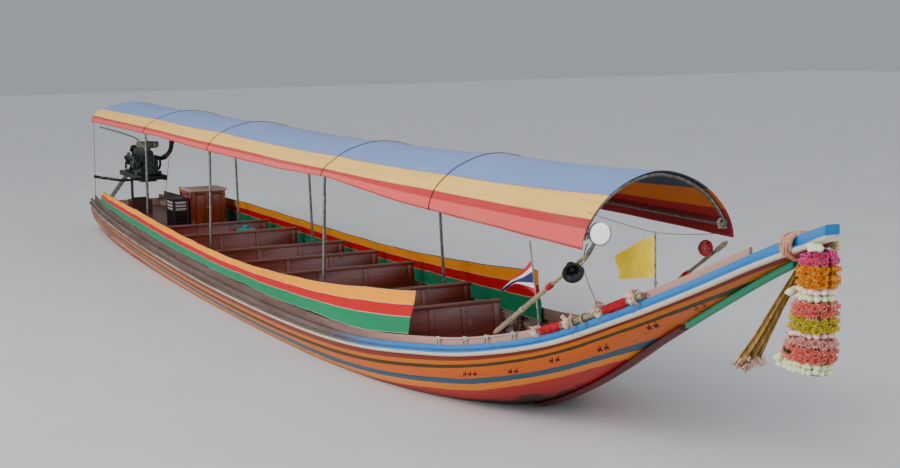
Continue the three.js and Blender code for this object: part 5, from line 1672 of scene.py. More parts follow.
# The peach is the cloth's own; the ramp follows the fold relief, darker in the hollows and paler on the
# ridges: painted shade and light of the folds.
tree.links.new(ramp(tree, folds, [(0.3, "a8664a"), (0.55, "cf9a80"), (0.75, "e2bda8")]),
               shader.inputs["Base Color"])
woven(tree, shader, folds)


def prow_outline(x, grow, count=56):
    """A rounded outline round the prow timber with its cap and rub strips."""
    half = hull("half_beam", x) + 0.024
    top, low = hull("gunwale", x) + hull("washboard", x), hull("keel", x)
    middle, tall = (top + low) / 2, (top - low) / 2
    outline = []
    for turn in np.linspace(0, 2 * math.pi, count, endpoint=False):
        across, up = math.cos(turn), math.sin(turn)
        y = (half + grow) * math.copysign(abs(across) ** 0.5, across)
        narrowing = 1.0 if up > -0.1 else 1.0 - 0.62 * ((-up - 0.1) / 0.9) ** 1.2
        outline.append((y * narrowing, middle + (tall + grow) * math.copysign(abs(up) ** 0.62, up)))
    return outline


outer, inner = [], []
for share in np.linspace(0, 1, 17):
    x = 14.370 + 0.064 * share
    grow = 0.004 + 0.020 * math.sin(math.pi * share) ** 0.6
    row, back = [], []
    for index, ((y, z), (yi, zi)) in enumerate(zip(prow_outline(x, grow), prow_outline(x, 0.0005))):
        fold = 1 + 0.10 * noise.noise(Vector((share * 6.0, index * 0.16, 2.0))) * math.sin(math.pi * share)
        lean = 0.06 * (z - hull("gunwale", x) + 0.04)
        row.append((x + lean, y * fold, z + 0.003 * math.sin(index * 0.9 + share * 8)))
        back.append((x + lean, yi * 0.995, zi))
    outer.append(row + row[:1])
    inner.append(back + back[:1])
vertices, faces, _ = shell(outer, inner)
wrap_piece = make_piece("prow_wrap_cloth", (vertices, faces), wrap_cloth,
                        replaces=["prow_wrap"], flat_under=70)
tie_parts = []
for phase in (0.0, 2.1, 4.2):
    tie_points = [(14.402 + 0.024 * math.sin(t + phase), y * 1.01, z) for t, (y, z) in
                  zip(np.linspace(0, 6.28, 57),
                      prow_outline(14.402, 0.020) + prow_outline(14.402, 0.020)[:1])]
    tie_parts.append(tube(smooth_line(tie_points, 120), 0.0065, 8))
make_piece("prow_wrap_tie", together(*tie_parts), wrap_cloth)

# %% [markdown]
# The sash is a long olive-gold ribbon that falls from the wrap and widens towards its end. Its
# section is pleated, so that the cloth is wider than the space that it takes, and it ends in
# a pale knot with crumpled ends.

# %% Sash
sash_cloth, tree, shader = new_finish("gold_sash_cloth", roughness=0.5, specular=0.4)
shader.inputs["Sheen Weight"].default_value = 0.4
sheen = speckle(tree, object_place(tree, (3, 3, 0.4)), 14, 5, 0.6)
# The olive gold is the ribbon's own; the ramp follows the relief of its folds, from dark olive in the
# hollows to bright gold on the ridges: painted shade and painted sheen.
tree.links.new(ramp(tree, sheen, [(0.3, "6e5216"), (0.5, "a37c22"), (0.72, "d3ad50")]),
               shader.inputs["Base Color"])
woven(tree, shader, sheen)
SASH = [(14.404, hull("keel", 14.392) - 0.022, 0.045), (14.378, 1.252, 0.046), (14.240, 1.080, 0.050),
        (14.090, 0.880, 0.058), (13.940, 0.690, 0.072)]
sash_line = smooth_line(SASH, 44)
outer, inner = [], []
for index, (x, z, half) in enumerate(sash_line):
    share = index / (len(sash_line) - 1)
    thick = 0.008 + 0.026 * share
    row, back = [], []
    for across in np.linspace(-1, 1, 61):
        pleat = math.sin(3.5 * math.pi * across + 2.2 * share) * (0.55 + 0.45 * math.cos(across * 2))
        drift = 0.006 * noise.noise(Vector((across * 2, share * 5, 9.0)))
        row.append((x + thick * pleat + drift, half * (0.55 + 0.45 * share ** 0.5) * across,
                    z - 0.004 * pleat))
        back.append((x + thick * pleat + drift + 0.0016, half * (0.55 + 0.45 * share ** 0.5) * across,
                     z - 0.004 * pleat - 0.0008))
    outer.append(row)
    inner.append(back)
vertices, faces, _ = shell(outer, inner)
sash_piece = make_piece("prow_sash", (vertices, faces), sash_cloth, replaces=["sash"],
                        flat_under=80)
sash_end = Vector((13.950, 0.0, 0.712))
ends = [knot(sash_end + Vector((0, y, 0)), 0.030, 90 + index) for index, y in enumerate((-0.03, 0.03))]
ends += [cloth_tuft(sash_end + Vector((dx, dy, dz)), 0.055, 95 + index)
         for index, (dx, dy, dz) in enumerate(
    ((0.0, -0.05, -0.015), (0.02, 0.0, -0.02), (-0.01, 0.05, -0.01), (0.045, -0.02, 0.0),
     (0.05, 0.03, -0.01)))]
make_piece("sash_end_knot", together(*ends), pale_cloth, tidy=False)
print("sash length:", round(float(np.sum(np.linalg.norm(np.diff(sash_line[:, :2], axis=0), axis=1))), 3))

# %% [markdown]
# The garlands are strings of flowers in rings of one colour each: white, magenta, gold, coral,
# yellow-green and pale pink. A blossom is three ruffled tiers of petals on each other, and a bud is
# a long drop. They stand around the outline of the solid, facing out, with leaves between.

# %% Flower finishes
def petals(name, heart, body, tip):
    material, tree, shader = new_finish(name, roughness=0.6, specular=0.3)
    shader.inputs["Subsurface Weight"].default_value = 0.10
    shade = speckle(tree, object_place(tree), 55, 4)
    across, _ = strip_place(tree)
    colour = ramp(tree, across, [(0.0, heart), (0.5, body), (1.0, tip)])
    tree.links.new(mixed(tree, calc(tree, "MULTIPLY", shade, 0.22), colour, body, "MULTIPLY"),
                   shader.inputs["Base Color"])
    relief(tree, shader, shade, 0.001)
    return material


FLOWERS = {"white": petals("greenish_white_petals", "a9b46a", "dadfa8", "f1f2d6"),
           "magenta": petals("magenta_petals", "f08a1c", "ee4f9c", "ffa2cf"),
           "gold": petals("gold_petals", "d07a10", "f7ab28", "ffd265"),
           "peach": petals("peach_petals", "e0937a", "f5d6c8", "fff2ea"),
           "coral": petals("coral_petals", "cf5c48", "f59080", "ffc4b6"),
           "lime": petals("yellow_green_petals", "a8a01c", "dccb3c", "f6ea86"),
           "rose": petals("pale_rose_petals", "d07a74", "f0b4aa", "f9dcd4")}
leaf_green, tree, shader = new_finish("dark_leaves", roughness=0.4)
veins = speckle(tree, object_place(tree), 60, 4)
tree.links.new(ramp(tree, veins, [(0.3, "0f3527"), (0.7, "1f5a40")]), shader.inputs["Base Color"])
relief(tree, shader, veins, 0.001)


def blossom(centre, outward, size, draw, tiers=3, points=9):
    """Ruffled tiers of petals round a centre, open towards outward."""
    outward = Vector(outward).normalized()
    across = outward.orthogonal().normalized()
    across.rotate(Matrix.Rotation(draw.uniform(0, 6.28), 3, outward))
    along = outward.cross(across)
    vertices, faces, shares = [], [], []
    sides = points * 2
    for tier in range(tiers):
        reach = size * (1.0 - 0.27 * tier)
        base = Vector(centre) + outward * size * 0.26 * tier
        start = len(vertices)
        for ring, (share, lift) in enumerate(((0.12, 0.20), (0.62, 0.10), (1.0, 0.34 + 0.2 * tier))):
            for side in range(sides):
                turn = 2 * math.pi * (side + 0.5 * tier) / sides
                ruffle = 1.0 if side % 2 else (0.72 if ring == 2 else 0.92)
                out = reach * share * ruffle * draw.uniform(0.92, 1.08)
                rise = size * (lift + (0.10 if side % 2 else -0.04) * share)
                vertices.append(tuple(base + (math.cos(turn) * across + math.sin(turn) * along) * out
                                      + outward * rise))
                shares.append((min(1.0, share * (1 - 0.2 * tier) + 0.02), 0.5))
        faces += grid_faces(3, sides, start, closed=True)
        faces.append(tuple(range(start, start + sides)))
    return vertices, faces, shares


def bud(centre, outward, size, draw):
    """A long closed bud that points outward and a little down."""
    axis = (Vector(outward).normalized() + Vector((0, 0, draw.uniform(-0.5, 0.1)))).normalized()
    across = axis.orthogonal().normalized()
    along = axis.cross(across)
    vertices, faces, shares = [], [], []
    profile = ((0.10, -0.5), (0.40, -0.30), (0.52, 0.05), (0.42, 0.42), (0.22, 0.72), (0.03, 0.90))
    for radius, forward in profile:
        for side in range(8):
            turn = 2 * math.pi * side / 8
            out = size * radius * (1.0 + 0.12 * math.sin(3 * turn))
            vertices.append(tuple(Vector(centre) + axis * size * forward
                                  + (math.cos(turn) * across + math.sin(turn) * along) * out))
            shares.append((0.3 + 0.7 * (forward + 0.5) / 1.4, 0.5))
    faces += grid_faces(6, 8, 0, closed=True)
    faces += [tuple(reversed(range(8))), tuple(range(40, 48))]
    return vertices, faces, shares


# %% [markdown]
# Each ring of the garland takes its outline from the height: aft it fans out downwards, and
# forward it is straight. Blossoms stand along that outline at an even spacing, a little
# scattered by a fixed draw of numbers, so that the rows look hand-strung every time alike.

# %% Garlands
GARLAND_ROWS = [(1.348, "magenta", "open"), (1.314, "magenta", "open"), (1.276, "gold", "open"),
                (1.240, "gold", "open"), (1.204, "gold", "open"), (1.170, "peach", "bud"),
                (1.136, "white", "bud"),
                (1.098, "coral", "open"), (1.060, "coral", "open"), (1.022, "lime", "open"),
                (0.984, "lime", "open"),
                (0.950, "rose", "bud"), (0.912, "rose", "open"), (0.872, "coral", "open"),
                (0.834, "coral", "open"), (0.798, "white", "bud"), (0.770, "white", "bud")]


def garland_outline(z, inset=0.0):
    """Corner-rounded outline of the garland at a height: aft x, fore x and half width."""
    share = max(0.0, (1.236 - z) / 0.49)
    aft = 14.440 - 0.150 * share + inset
    fore = 14.604 - 0.006 * share - inset
    half = float(np.interp(z, (1.240, 1.276, 1.320, 1.370), (0.084, 0.081, 0.074, 0.050))) - inset
    line = []
    for turn in np.linspace(0, 2 * math.pi, 73):
        across, along = math.sin(turn), math.cos(turn)
        line.append(((aft + fore) / 2 + (fore - aft) / 2 * math.copysign(abs(along) ** 0.6, along),
                     half * math.copysign(abs(across) ** 0.6, across), z))
    return np.array(line)


def strung_flowers(rows, seed):
    draw = random.Random(seed)
    shapes, strip = [], []
    for z, kind in rows:
        inset = 0.020 if kind == "open" else 0.026
        line = garland_outline(z, inset)
        length = np.concatenate([[0], np.cumsum(np.linalg.norm(np.diff(line, axis=0), axis=1))])
        count = round(length[-1] / (0.036 if kind == "open" else 0.030))
        for index in range(count):
            place = (index + 0.5 + draw.uniform(-0.15, 0.15)) / count * length[-1]
            centre = np.array([np.interp(place, length, line[:, axis]) for axis in range(3)])
            centre[2] += draw.uniform(-0.006, 0.006)
            middle = np.array(((line[:, 0].min() + line[:, 0].max()) / 2, 0, z))
            outward = (centre - middle) * (1.0, 1.6, 1.0)
            outward[2] = draw.uniform(-0.03, 0.02)
            if kind == "open":
                made = blossom(centre, outward, draw.uniform(0.025, 0.030), draw)
            else:
                made = bud(centre, outward, draw.uniform(0.034, 0.040), draw)
            shapes.append(made[:2])
            strip += made[2]
    return together(*shapes), strip


first = True
for colour in FLOWERS:
    rows = [(z, kind) for z, tone, kind in GARLAND_ROWS if tone == colour]
    shape, strip = strung_flowers(rows, 100 + len(colour))
    piece = make_piece(f"garland_{colour}", shape, FLOWERS[colour], strip=strip, tidy=False,
                       flat_under=75, replaces=["garlands"] if first else [])
    first = False
    print(piece.name, len(piece.data.polygons), "faces")

# The core carries each row's flower colour, darkened: painted shade between the blossoms.
shaded_flower_core, tree, shader = new_finish("strung_flower_backs_painted_shade", roughness=0.8)
level = calc(tree, "DIVIDE", calc(tree, "SUBTRACT", height_of(tree).outputs[2], 0.75), 0.63)
tree.links.new(ramp(tree, level, [(0.0, "8f9a62"), (0.105, "a84a3e"), (0.23, "b87a6c"), (0.34, "8e8a30"),
                                  (0.46, "a84a3e"), (0.58, "b09c8c"), (0.69, "b8761c"), (0.86, "b03a72")],
                    steps=True), shader.inputs["Base Color"])
relief(tree, shader, speckle(tree, object_place(tree), 60, 4), 0.003)
core_rings = [garland_outline(z, 0.028)[:-1] for z in np.linspace(1.352, 0.752, 26)]
make_piece("garland_string_core", loft(core_rings), shaded_flower_core)


def leaf(base, direction, length, width, draw):
    direction = Vector(direction).normalized()
    across = direction.orthogonal().normalized()
    across.rotate(Matrix.Rotation(draw.uniform(0, 3.14), 3, direction))
    lift = direction.cross(across)
    vertices = []
    for step in range(7):
        share = step / 6
        half = width * math.sin(math.pi * (0.08 + 0.90 * share)) ** 0.9
        bend = lift * length * 0.25 * share ** 2
        for edge in (-1, 0, 1):
            cup = lift * half * 0.35 * abs(edge)
            point = Vector(base) + direction * length * share + across * half * edge
            vertices.append(tuple(point + bend + cup))
    return vertices, grid_faces(7, 3)


draw = random.Random(7)
leaves = []
for z, count in ((1.345, 4), (1.10, 3), (0.985, 4), (0.930, 5), (0.880, 8), (0.845, 9), (0.815, 7)):
    line = garland_outline(z, 0.030)
    aft_part = line[(line[:, 0] < line[:, 0].min() + 0.07)]
    for _ in range(count):
        base = aft_part[draw.randrange(len(aft_part))]
        leaves.append(leaf(base, (-0.8, math.copysign(0.8, base[1]), draw.uniform(-0.6, 0.3)),
                           draw.uniform(0.035, 0.048), 0.012, draw))
make_piece("garland_leaves", together(*leaves), leaf_green, tidy=False)

draw = random.Random(11)
shapes, strip = [], []
for index in range(18):
    side = -1 if index % 2 else 1
    x = 14.526 + 0.0045 * index
    centre = (x, side * (hull("half_beam", x) + 0.006), 1.392 + 0.010 * math.sin(index * 1.7))
    made = bud(centre, (0.3, side, -0.4), 0.032, draw)
    shapes.append(made[:2])
    strip += made[2]
make_piece("prow_tip_buds", together(*shapes), FLOWERS["white"], strip=strip, tidy=False)

draw = random.Random(23)
shapes, strip = [], []
for x, y, z in ((14.306, -0.060, 0.800), (14.296, -0.030, 0.806), (14.300, 0.000, 0.798),
                (14.300, 0.034, 0.804),
                (14.312, -0.050, 0.772), (14.300, 0.012, 0.768), (14.408, -0.070, 1.150),
                (14.400, -0.040, 1.156)):
    made = bud((x, y, z), (-0.8, -0.6 if y < 0 else 0.4, 0), 0.042, draw)
    shapes.append(made[:2])
    strip += made[2]
make_piece("garland_side_buds", together(*shapes), FLOWERS["white"], strip=strip,
           tidy=False)

# %% [markdown]
# The boat is driven by an old car engine. Its castings keep their solids, with a dark green
# enamel that has oil and rust on it. Round them come the parts that a mechanic would look for:
# belt, plug leads, distributor, oil filter, carburettor, hoses, bolts and cables.

# %% Engine finishes
engine_green = metal("engine_enamel", "34483c", "1b2620", "4f3623", roughness=0.45, metallic=0.25,
                     rusting=0.57, scale=24)
dark_iron = metal("dark_iron", "2b2a2b", "141415", "4a2f20", roughness=0.55, metallic=0.5, rusting=0.56)
khaki = metal("khaki_enamel", "8c8768", "605c47", "4a3a28", roughness=0.5, metallic=0.25, rusting=0.60,
              scale=20)
bright_steel = metal("bright_steel", "b9b9b6", "83837f", "5a4130", roughness=0.3, metallic=1.0,
                     rusting=0.64)
rusty_pipe = metal("exhaust_iron", "3b332f", "1f1a18", "6b3a20", roughness=0.7, metallic=0.4, rusting=0.50,
                   scale=18)
rubber, tree, shader = new_finish("black_rubber", roughness=0.7, specular=0.3)
dust = speckle(tree, object_place(tree), 30, 6)
tree.links.new(ramp(tree, dust, [(0.4, "0d0d0e"), (0.75, "2c2a28")]), shader.inputs["Base Color"])
relief(tree, shader, dust, 0.0006)
bronze = metal("propeller_bronze", "b98a45", "7d5a2a", "4c5a3a", roughness=0.32, metallic=0.95,
               rusting=0.60)
dress(engine_green, "engine_block")
dress(dark_iron, "engine_frame", "yoke")
dress(varnish("pedestal_varnish", "5a2418", "2f100b", "x", roughness=0.5, wear=0.55), "pedestal")


# %% Bolts, belt and pipework of the engine
ROCKER_BOLT_XS = np.linspace(0.70, 1.34, 6)
BLOCK_BOLT_XS = (0.70, 0.86, 1.02, 1.18, 1.33)
BLOCK_BOLT_HEIGHTS = (0.805, 0.93)
FOOT_BOLT_XS = (0.705, 0.755, 1.285, 1.335)
COVER_FACE_X = 1.4382                      # the fore face of the cover behind the belt
COVER_CENTRE_HEIGHT = 0.902
CORE_PLUG_XS = (0.80, 0.94, 1.06, 1.20)
SPARK_PLUG_XS = (0.86, 1.00, 1.14, 1.27)
BELT_X = 1.460
BELT_WHEELS = [(0, 0.866, 0.0665), (0, 0.978, 0.0505), (-0.172, 0.925, 0.0315)]   # y, z, radius
DISTRIBUTOR = Vector((0.735, -0.128, 0.880))


def hexagon(place, direction, radius=0.008, height=0.006):
    return lathe([(radius * 0.98, 0.0), (radius, height * 0.85), (radius * 0.82, height), (0.001, height)],
                 place, direction, 6)


bolts = []
for x in ROCKER_BOLT_XS:
    bolts += [hexagon((x, side * 0.050, 1.0765), (0, side * 0.79, 0.62), 0.007, 0.006) for side in (-1, 1)]
for x in BLOCK_BOLT_XS:
    bolts += [hexagon((x, side * 0.108, z), (0, side, 0), 0.009, 0.008) for side in (-1, 1)
              for z in BLOCK_BOLT_HEIGHTS]
for turn in np.linspace(0, 2 * math.pi, 8, endpoint=False):
    place = (COVER_FACE_X, 0.082 * math.cos(turn), COVER_CENTRE_HEIGHT + 0.070 * math.sin(turn))
    bolts.append(hexagon(place, (1, 0, 0), 0.006, 0.005))
for x in FOOT_BOLT_XS:
    bolts += [hexagon((x, side * 0.150, 0.8152), (0, 0, 1), 0.009, 0.009) for side in (-1, 1)]
make_piece("engine_bolts", together(*bolts), bright_steel, body="engine")

core_plugs = [lathe([(0.018, 0), (0.018, 0.003), (0.006, 0.004)], (x, -0.108, 0.860), (0, -1, 0), 20)
              for x in CORE_PLUG_XS]
make_piece("core_plugs", together(*core_plugs), bright_steel, body="engine")


def belt_round(wheels, x, width, thickness):
    """A belt round several wheels, from the outline of their outer points."""
    points = [(y + r * math.cos(t), z + r * math.sin(t)) for y, z, r in wheels
              for t in np.linspace(0, 2 * math.pi, 48, endpoint=False)]
    points = sorted(set(points))

    def half(points):
        chain = []
        for point in points:
            while len(chain) > 1 and ((chain[-1][0] - chain[-2][0]) * (point[1] - chain[-2][1])
                                      - (chain[-1][1] - chain[-2][1]) * (point[0] - chain[-2][0])) <= 0:
                chain.pop()
            chain.append(point)
        return chain[:-1]

    outline = half(points) + half(points[::-1])
    centre = np.mean(outline, axis=0)
    rings = []
    for y, z in outline:
        out = np.array((y, z)) - centre
        out = out / np.linalg.norm(out) * thickness
        rings.append([(x - width / 2, y, z), (x + width / 2, y, z), (x + width / 2, y + out[0], z + out[1]),
                      (x - width / 2, y + out[0], z + out[1])])
    rings.append(rings[0])
    rows = np.array(rings)
    return rows.reshape(-1, 3), grid_faces(len(rings), 4, closed=True)


belt = belt_round(BELT_WHEELS, BELT_X, width=0.011, thickness=0.006)
make_piece("fan_belt", belt, rubber, body="engine", tidy=False)

hose = []
hose.append(tube(smooth_line([(1.40, 0.062, 0.985), (1.44, 0.105, 1.00), (1.42, 0.130, 0.93),
                              (1.36, 0.128, 0.86), (1.20, 0.126, 0.835)], 30), 0.015, 12))
hose.append(tube(smooth_line([(0.64, -0.06, 0.90), (0.56, -0.09, 0.93), (0.50, -0.10, 0.86),
                              (0.45, -0.085, 0.79)],
                             24), 0.012, 10))
hose.append(tube(smooth_line([(0.985, -0.128, 1.062), (1.03, -0.130, 1.115), (1.12, -0.115, 1.135),
                              (1.195, -0.060, 1.135)], 30), [0.022 + 0.0022 * (i % 2) for i in range(31)],
                 14))
make_piece("engine_hoses", together(*hose), rubber, body="engine")

leads = []
for index, x in enumerate(SPARK_PLUG_XS):
    start = DISTRIBUTOR + Vector((0.014 * math.cos(index * 1.6), 0.014 * math.sin(index * 1.6) - 0.004,
                                  0.052))
    leads.append(tube(smooth_line([start, start + Vector((0.02, -0.03, 0.035 + 0.006 * index)),
                                   ((start.x + x) / 2, -0.178, 0.952 + 0.008 * index), (x, -0.142, 0.945),
                                   (x, -0.112, 0.940)], 26), 0.0042, 8))
    leads.append(tube([(x, -0.124, 0.9415), (x, -0.104, 0.940), (x, -0.094, 0.940)], 0.009, 10))
leads.append(lathe([(0.001, 0.050), (0.022, 0.048), (0.027, 0.030), (0.027, 0.006), (0.020, 0.0),
                    (0.001, 0.0)],
                   DISTRIBUTOR, (0, 0, 1), 20))
for turn in np.linspace(0, 2 * math.pi, 5)[:-1]:
    tower = DISTRIBUTOR + Vector((0.015 * math.cos(turn), 0.015 * math.sin(turn), 0.044))
    leads.append(lathe([(0.006, 0.0), (0.006, 0.014), (0.001, 0.015)], tower, (0, 0, 1), 10))
make_piece("plug_leads", together(*leads), rubber, body="engine")
distributor_foot = lathe([(0.014, -0.060), (0.014, -0.020), (0.021, -0.014), (0.021, 0.002)], DISTRIBUTOR,
                         (0, 0, 1), 18)
oil_filter = lathe([(0.001, 0.0), (0.030, 0.0), (0.040, 0.006), (0.041, 0.080), (0.034, 0.090),
                    (0.001, 0.092)],
                   (1.055, -0.108, 0.868), (0, -1, 0), 28)
carburettor = together(lathe([(0.030, 0.0), (0.034, 0.004), (0.034, 0.012), (0.024, 0.016), (0.024, 0.034),
                              (0.030, 0.038), (0.030, 0.052), (0.020, 0.056)], (0.985, -0.128, 1.012),
                             (0, 0, 1), 24),
                       block((0.935, -0.160, 1.022), (0.968, -0.104, 1.056)),
                       lathe([(0.012, 0), (0.012, 0.020), (0.006, 0.024)], (0.952, -0.160, 1.038),
                             (0, -1, 0), 14))
make_piece("engine_fittings", together(distributor_foot, oil_filter, carburettor), bright_steel,
           body="engine", flat_under=30)

# %% [markdown]
# The air cleaner is a round pan with a rolled rim, three clips and a wing nut. The exhaust runs
# forward and turns up beside it. Both replace coarser solids of the same outline.

# %% Air cleaner and exhaust
PAN = Vector((1.330, 0.0, 1.0903))
pan_profile = [(0.001, 0.0), (0.034, 0.0), (0.034, 0.024), (0.060, 0.028), (0.116, 0.033), (0.134, 0.043),
               (0.1405, 0.056), (0.142, 0.064), (0.142, 0.078), (0.1385, 0.080), (0.1385, 0.084),
               (0.142, 0.086),
               (0.142, 0.097), (0.137, 0.106), (0.128, 0.110), (0.096, 0.1125), (0.090, 0.109),
               (0.060, 0.111), (0.030, 0.117), (0.018, 0.118), (0.001, 0.118)]
clips = []
for turn in (0.4, 2.5, 4.6):
    out = Vector((math.cos(turn), math.sin(turn), 0))
    clips.append(tube(smooth_line([PAN + out * 0.134 + Vector((0, 0, 0.112)),
                                   PAN + out * 0.146 + Vector((0, 0, 0.100)),
                                   PAN + out * 0.146 + Vector((0, 0, 0.062)),
                                   PAN + out * 0.139 + Vector((0, 0, 0.052))],
                                  14), 0.0028, 6))
wing = [lathe([(0.010, 0.0), (0.010, 0.008), (0.006, 0.014), (0.001, 0.015)], PAN + Vector((0, 0, 0.1185)),
              (0, 0, 1), 16)]
wing += [block(PAN + Vector((-0.018, -0.0015, 0.121)), PAN + Vector((0.018, 0.0015, 0.132)))]
make_piece("air_cleaner_pan", lathe(pan_profile, PAN, (0, 0, 1), 56), khaki, body="engine",
           replaces=["air_cleaner"], flat_under=30)
make_piece("air_cleaner_clips", together(*clips, *wing), bright_steel, body="engine")

EXHAUST_Y, EXHAUST_Z = 0.178, 0.975
exhaust_line = smooth_line([(0.700, EXHAUST_Y, EXHAUST_Z), (1.000, EXHAUST_Y, EXHAUST_Z),
                            (1.290, EXHAUST_Y, EXHAUST_Z + 0.004),
                            (1.440, EXHAUST_Y + 0.020, EXHAUST_Z + 0.040),
                            (1.530, EXHAUST_Y + 0.060, EXHAUST_Z + 0.120),
                            (1.560, EXHAUST_Y + 0.080, 1.225)], 60)
exhaust_parts = [tube(exhaust_line, 0.028, 20)]
for x in (0.745, 0.905, 1.065, 1.225):
    runner = smooth_line([(x, 0.0925, EXHAUST_Z), (x, 0.130, EXHAUST_Z + 0.004), (x, EXHAUST_Y, EXHAUST_Z)],
                         10)
    exhaust_parts.append(tube(runner, 0.020, 16))
    exhaust_parts.append(block((x - 0.030, 0.0922, EXHAUST_Z - 0.022),
                               (x + 0.030, 0.100, EXHAUST_Z + 0.022)))
    exhaust_parts += [hexagon((x + end * 0.024, 0.100, EXHAUST_Z), (0, 1, 0), 0.006, 0.006)
                      for end in (-1, 1)]
for index in (34, 57):
    ahead = exhaust_line[index + 1] - exhaust_line[index]
    exhaust_parts.append(lathe([(0.029, -0.010), (0.034, -0.010), (0.034, 0.010), (0.029, 0.010)],
                               exhaust_line[index], ahead, 20))
make_piece("exhaust_pipe", together(*exhaust_parts), rusty_pipe, body="engine",
           replaces=["exhaust"])

# %% [markdown]
# The tiller is a steel tube with a rubber grip and a throttle lever. A cable runs from the
# lever to the carburettor, clipped to the tube.

# %% Tiller and cables
tiller_line = smooth_line([(1.590, -0.163, 0.755), (1.590, -0.240, 0.752), (1.570, -0.400, 0.746),
                           (1.535, -0.570, 0.775), (1.500, -0.735, 0.812)], 60)
make_piece("tiller_tube", tube(tiller_line, 0.0145, 16), dark_iron, body="engine",
           replaces=["tiller"])
grip_line = tiller_line[47:]
make_piece("tiller_grip", tube(grip_line, [0.0175 + 0.0012 * (index % 2)
                                           for index in range(len(grip_line))], 18),
           rubber, body="engine")
lever_root = Vector(tiller_line[44])
lever = [tube(smooth_line([lever_root, lever_root + Vector((0.018, -0.012, 0.022)),
                           lever_root + Vector((0.024, -0.070, 0.030)),
                           lever_root + Vector((0.020, -0.110, 0.024))], 16),
              0.0045, 8), lathe([(0.0165, -0.012), (0.019, -0.010), (0.019, 0.010), (0.0165, 0.012)],
                                lever_root, Vector(tiller_line[45] - tiller_line[43]), 18)]
make_piece("throttle_lever", together(*lever), bright_steel, body="engine")
cable = smooth_line([lever_root + Vector((0.006, 0.006, 0.021)),
                     Vector(tiller_line[30]) + Vector((0, 0, 0.019)),
                     Vector(tiller_line[12]) + Vector((0, 0, 0.019)), (1.560, -0.205, 0.830),
                     (1.42, -0.262, 0.985), (1.20, -0.205, 1.060), (1.02, -0.168, 1.050)], 60)
wires = [tube(cable, 0.0032, 8)]
wires.append(tube(smooth_line([(1.36, -0.232, 0.930), (1.28, -0.235, 0.885), (1.10, -0.168, 0.872),
                               (0.90, -0.150, 0.860), (0.735, -0.150, 0.862)], 30), 0.0028, 6))
for index in (14, 24, 34):
    wires.append(lathe([(0.0150, -0.004), (0.0168, -0.004), (0.0168, 0.004), (0.0150, 0.004)],
                       tiller_line[index], Vector(tiller_line[index + 1] - tiller_line[index - 1]), 16))
make_piece("throttle_cable", together(*wires), rubber, body="engine")

# %% [markdown]
# The long tail is a steel tube that carries the propeller shaft. It ends in a bearing with a
# small skeg below it. The propeller has two broad, twisted blades: each section is a thin leaf
# whose angle follows the pitch, so the twist comes from one formula.

# %% Tail tube
TAIL_X, TAIL_Z, TAIL_SLOPE, TAIL_LENGTH = 0.400, 0.800, math.radians(21), 2.980
tail_way = Vector((-math.cos(TAIL_SLOPE), 0, -math.sin(TAIL_SLOPE)))
tail_up = Vector((-math.sin(TAIL_SLOPE), 0, math.cos(TAIL_SLOPE)))


def on_tail(distance, up=0.0, side=0.0):
    return Vector((TAIL_X, side, TAIL_Z)) + tail_way * distance + tail_up * up


tail_profile = [(0.0415, -0.0797), (0.0420, -0.076), (0.0420, -0.024), (0.0415, -0.0197), (0.0300, -0.0195),
                (0.0300, 0.90), (0.0315, 0.902), (0.0315, 0.938), (0.0300, 0.940), (0.0300, 1.90),
                (0.0315, 1.902),
                (0.0315, 1.938), (0.0300, 1.940), (0.0300, 2.828), (0.0320, 2.8305), (0.0425, 2.853),
                (0.0430, 2.858), (0.0430, 2.957), (0.0415, 2.962), (0.0345, 2.979), (0.001, 2.980)]
tail_parts = [lathe(tail_profile, (TAIL_X, 0, TAIL_Z), tail_way, 32)]
fin = [(0.150 + along, up) for along, up in ((-0.145, -0.020), (0.005, -0.020), (0.064, -0.186),
                                             (0.056, -0.191), (0.004, -0.203))]
fin_points = [on_tail(TAIL_LENGTH - 0.260 + along, up, side) for side in (-0.005, 0.005)
              for along, up in fin]
count = len(fin)
fin_faces = [(i, (i + 1) % count, (i + 1) % count + count, i + count) for i in range(count)]
fin_faces += [tuple(reversed(range(count))), tuple(range(count, 2 * count))]
tail_parts.append(([tuple(p) for p in fin_points], fin_faces))
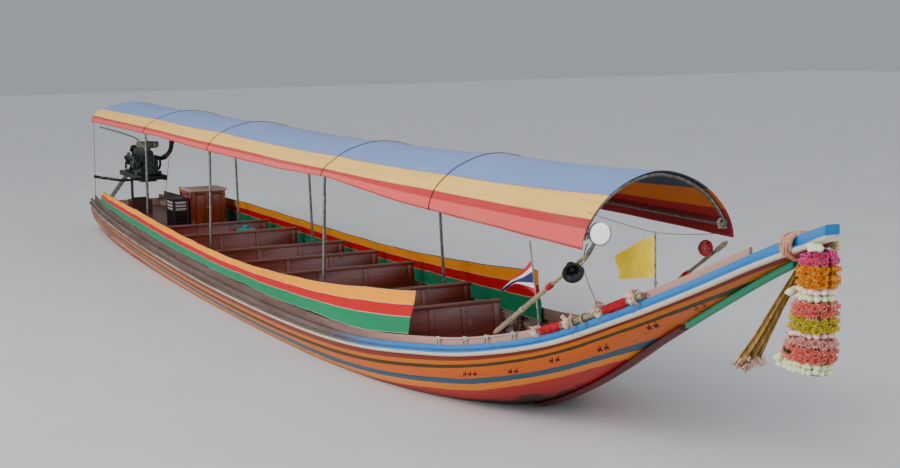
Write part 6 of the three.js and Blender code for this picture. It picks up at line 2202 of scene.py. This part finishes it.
for turn in np.linspace(0, 2 * math.pi, 6, endpoint=False):
    out = tail_up * math.sin(turn) + Vector((0, 1, 0)) * math.cos(turn)
    tail_parts.append(hexagon(on_tail(-0.050) + out * 0.0415, out, 0.006, 0.006))
    tail_parts.append(hexagon(on_tail(2.905) + out * 0.0425, out, 0.005, 0.004))
tail_parts.append(lathe([(0.006, 0), (0.006, 0.012), (0.003, 0.016), (0.001, 0.017)], on_tail(2.88, 0.043),
                        tail_up, 10))
tail_steel = metal("tail_steel", "7d7a73", "4f4c47", "5b3823", roughness=0.5, metallic=0.6, rusting=0.54)
make_piece("tail_shaft_tube", together(*tail_parts), tail_steel, body="engine",
           replaces=["tail_tube"], flat_under=30)

# %% Propeller
BLADE = [(0.020, 0.052, 0.016), (0.060, 0.096, 0.011), (0.100, 0.122, 0.009), (0.135, 0.108, 0.007),
         (0.158, 0.066, 0.005), (0.1648, 0.024, 0.003)]
PITCH, OVERHANG = 0.330, 0.130


def blade(turn):
    rings = []
    for radius, chord, thickness in smooth_line(BLADE, 26):
        twist = math.atan2(PITCH, 2 * math.pi * max(radius, 0.02))
        ring = []
        for t in np.linspace(0, 2 * math.pi, 24, endpoint=False):
            along, out = 0.5 * chord * math.cos(t), 0.5 * thickness * math.sin(t) * (1 + 0.25 * math.cos(t))
            a = along * math.sin(twist) + out * math.cos(twist)
            b = along * math.cos(twist) - out * math.sin(twist)
            spin = math.radians(turn)
            b, r = b * math.cos(spin) - radius * math.sin(spin), b * math.sin(spin) + radius * math.cos(spin)
            ring.append(tuple(on_tail(TAIL_LENGTH + OVERHANG + a, r, -b)))
        rings.append(ring)
    return loft(rings)


hub_profile = [(0.001, 0.0003), (0.0178, 0.0003), (0.0180, 0.080), (0.0250, 0.085), (0.0330, 0.098),
               (0.0340, 0.104),
               (0.0340, 0.168), (0.0325, 0.174), (0.0200, 0.199), (0.0150, 0.207), (0.001, 0.2115)]
make_piece("bronze_propeller", together(lathe(hub_profile, on_tail(TAIL_LENGTH), tail_way, 32), blade(0),
                                        blade(180)),
           bronze, body="propeller", replaces=["propeller"], flat_under=35)
print("propeller radius:", BLADE[-1][0])
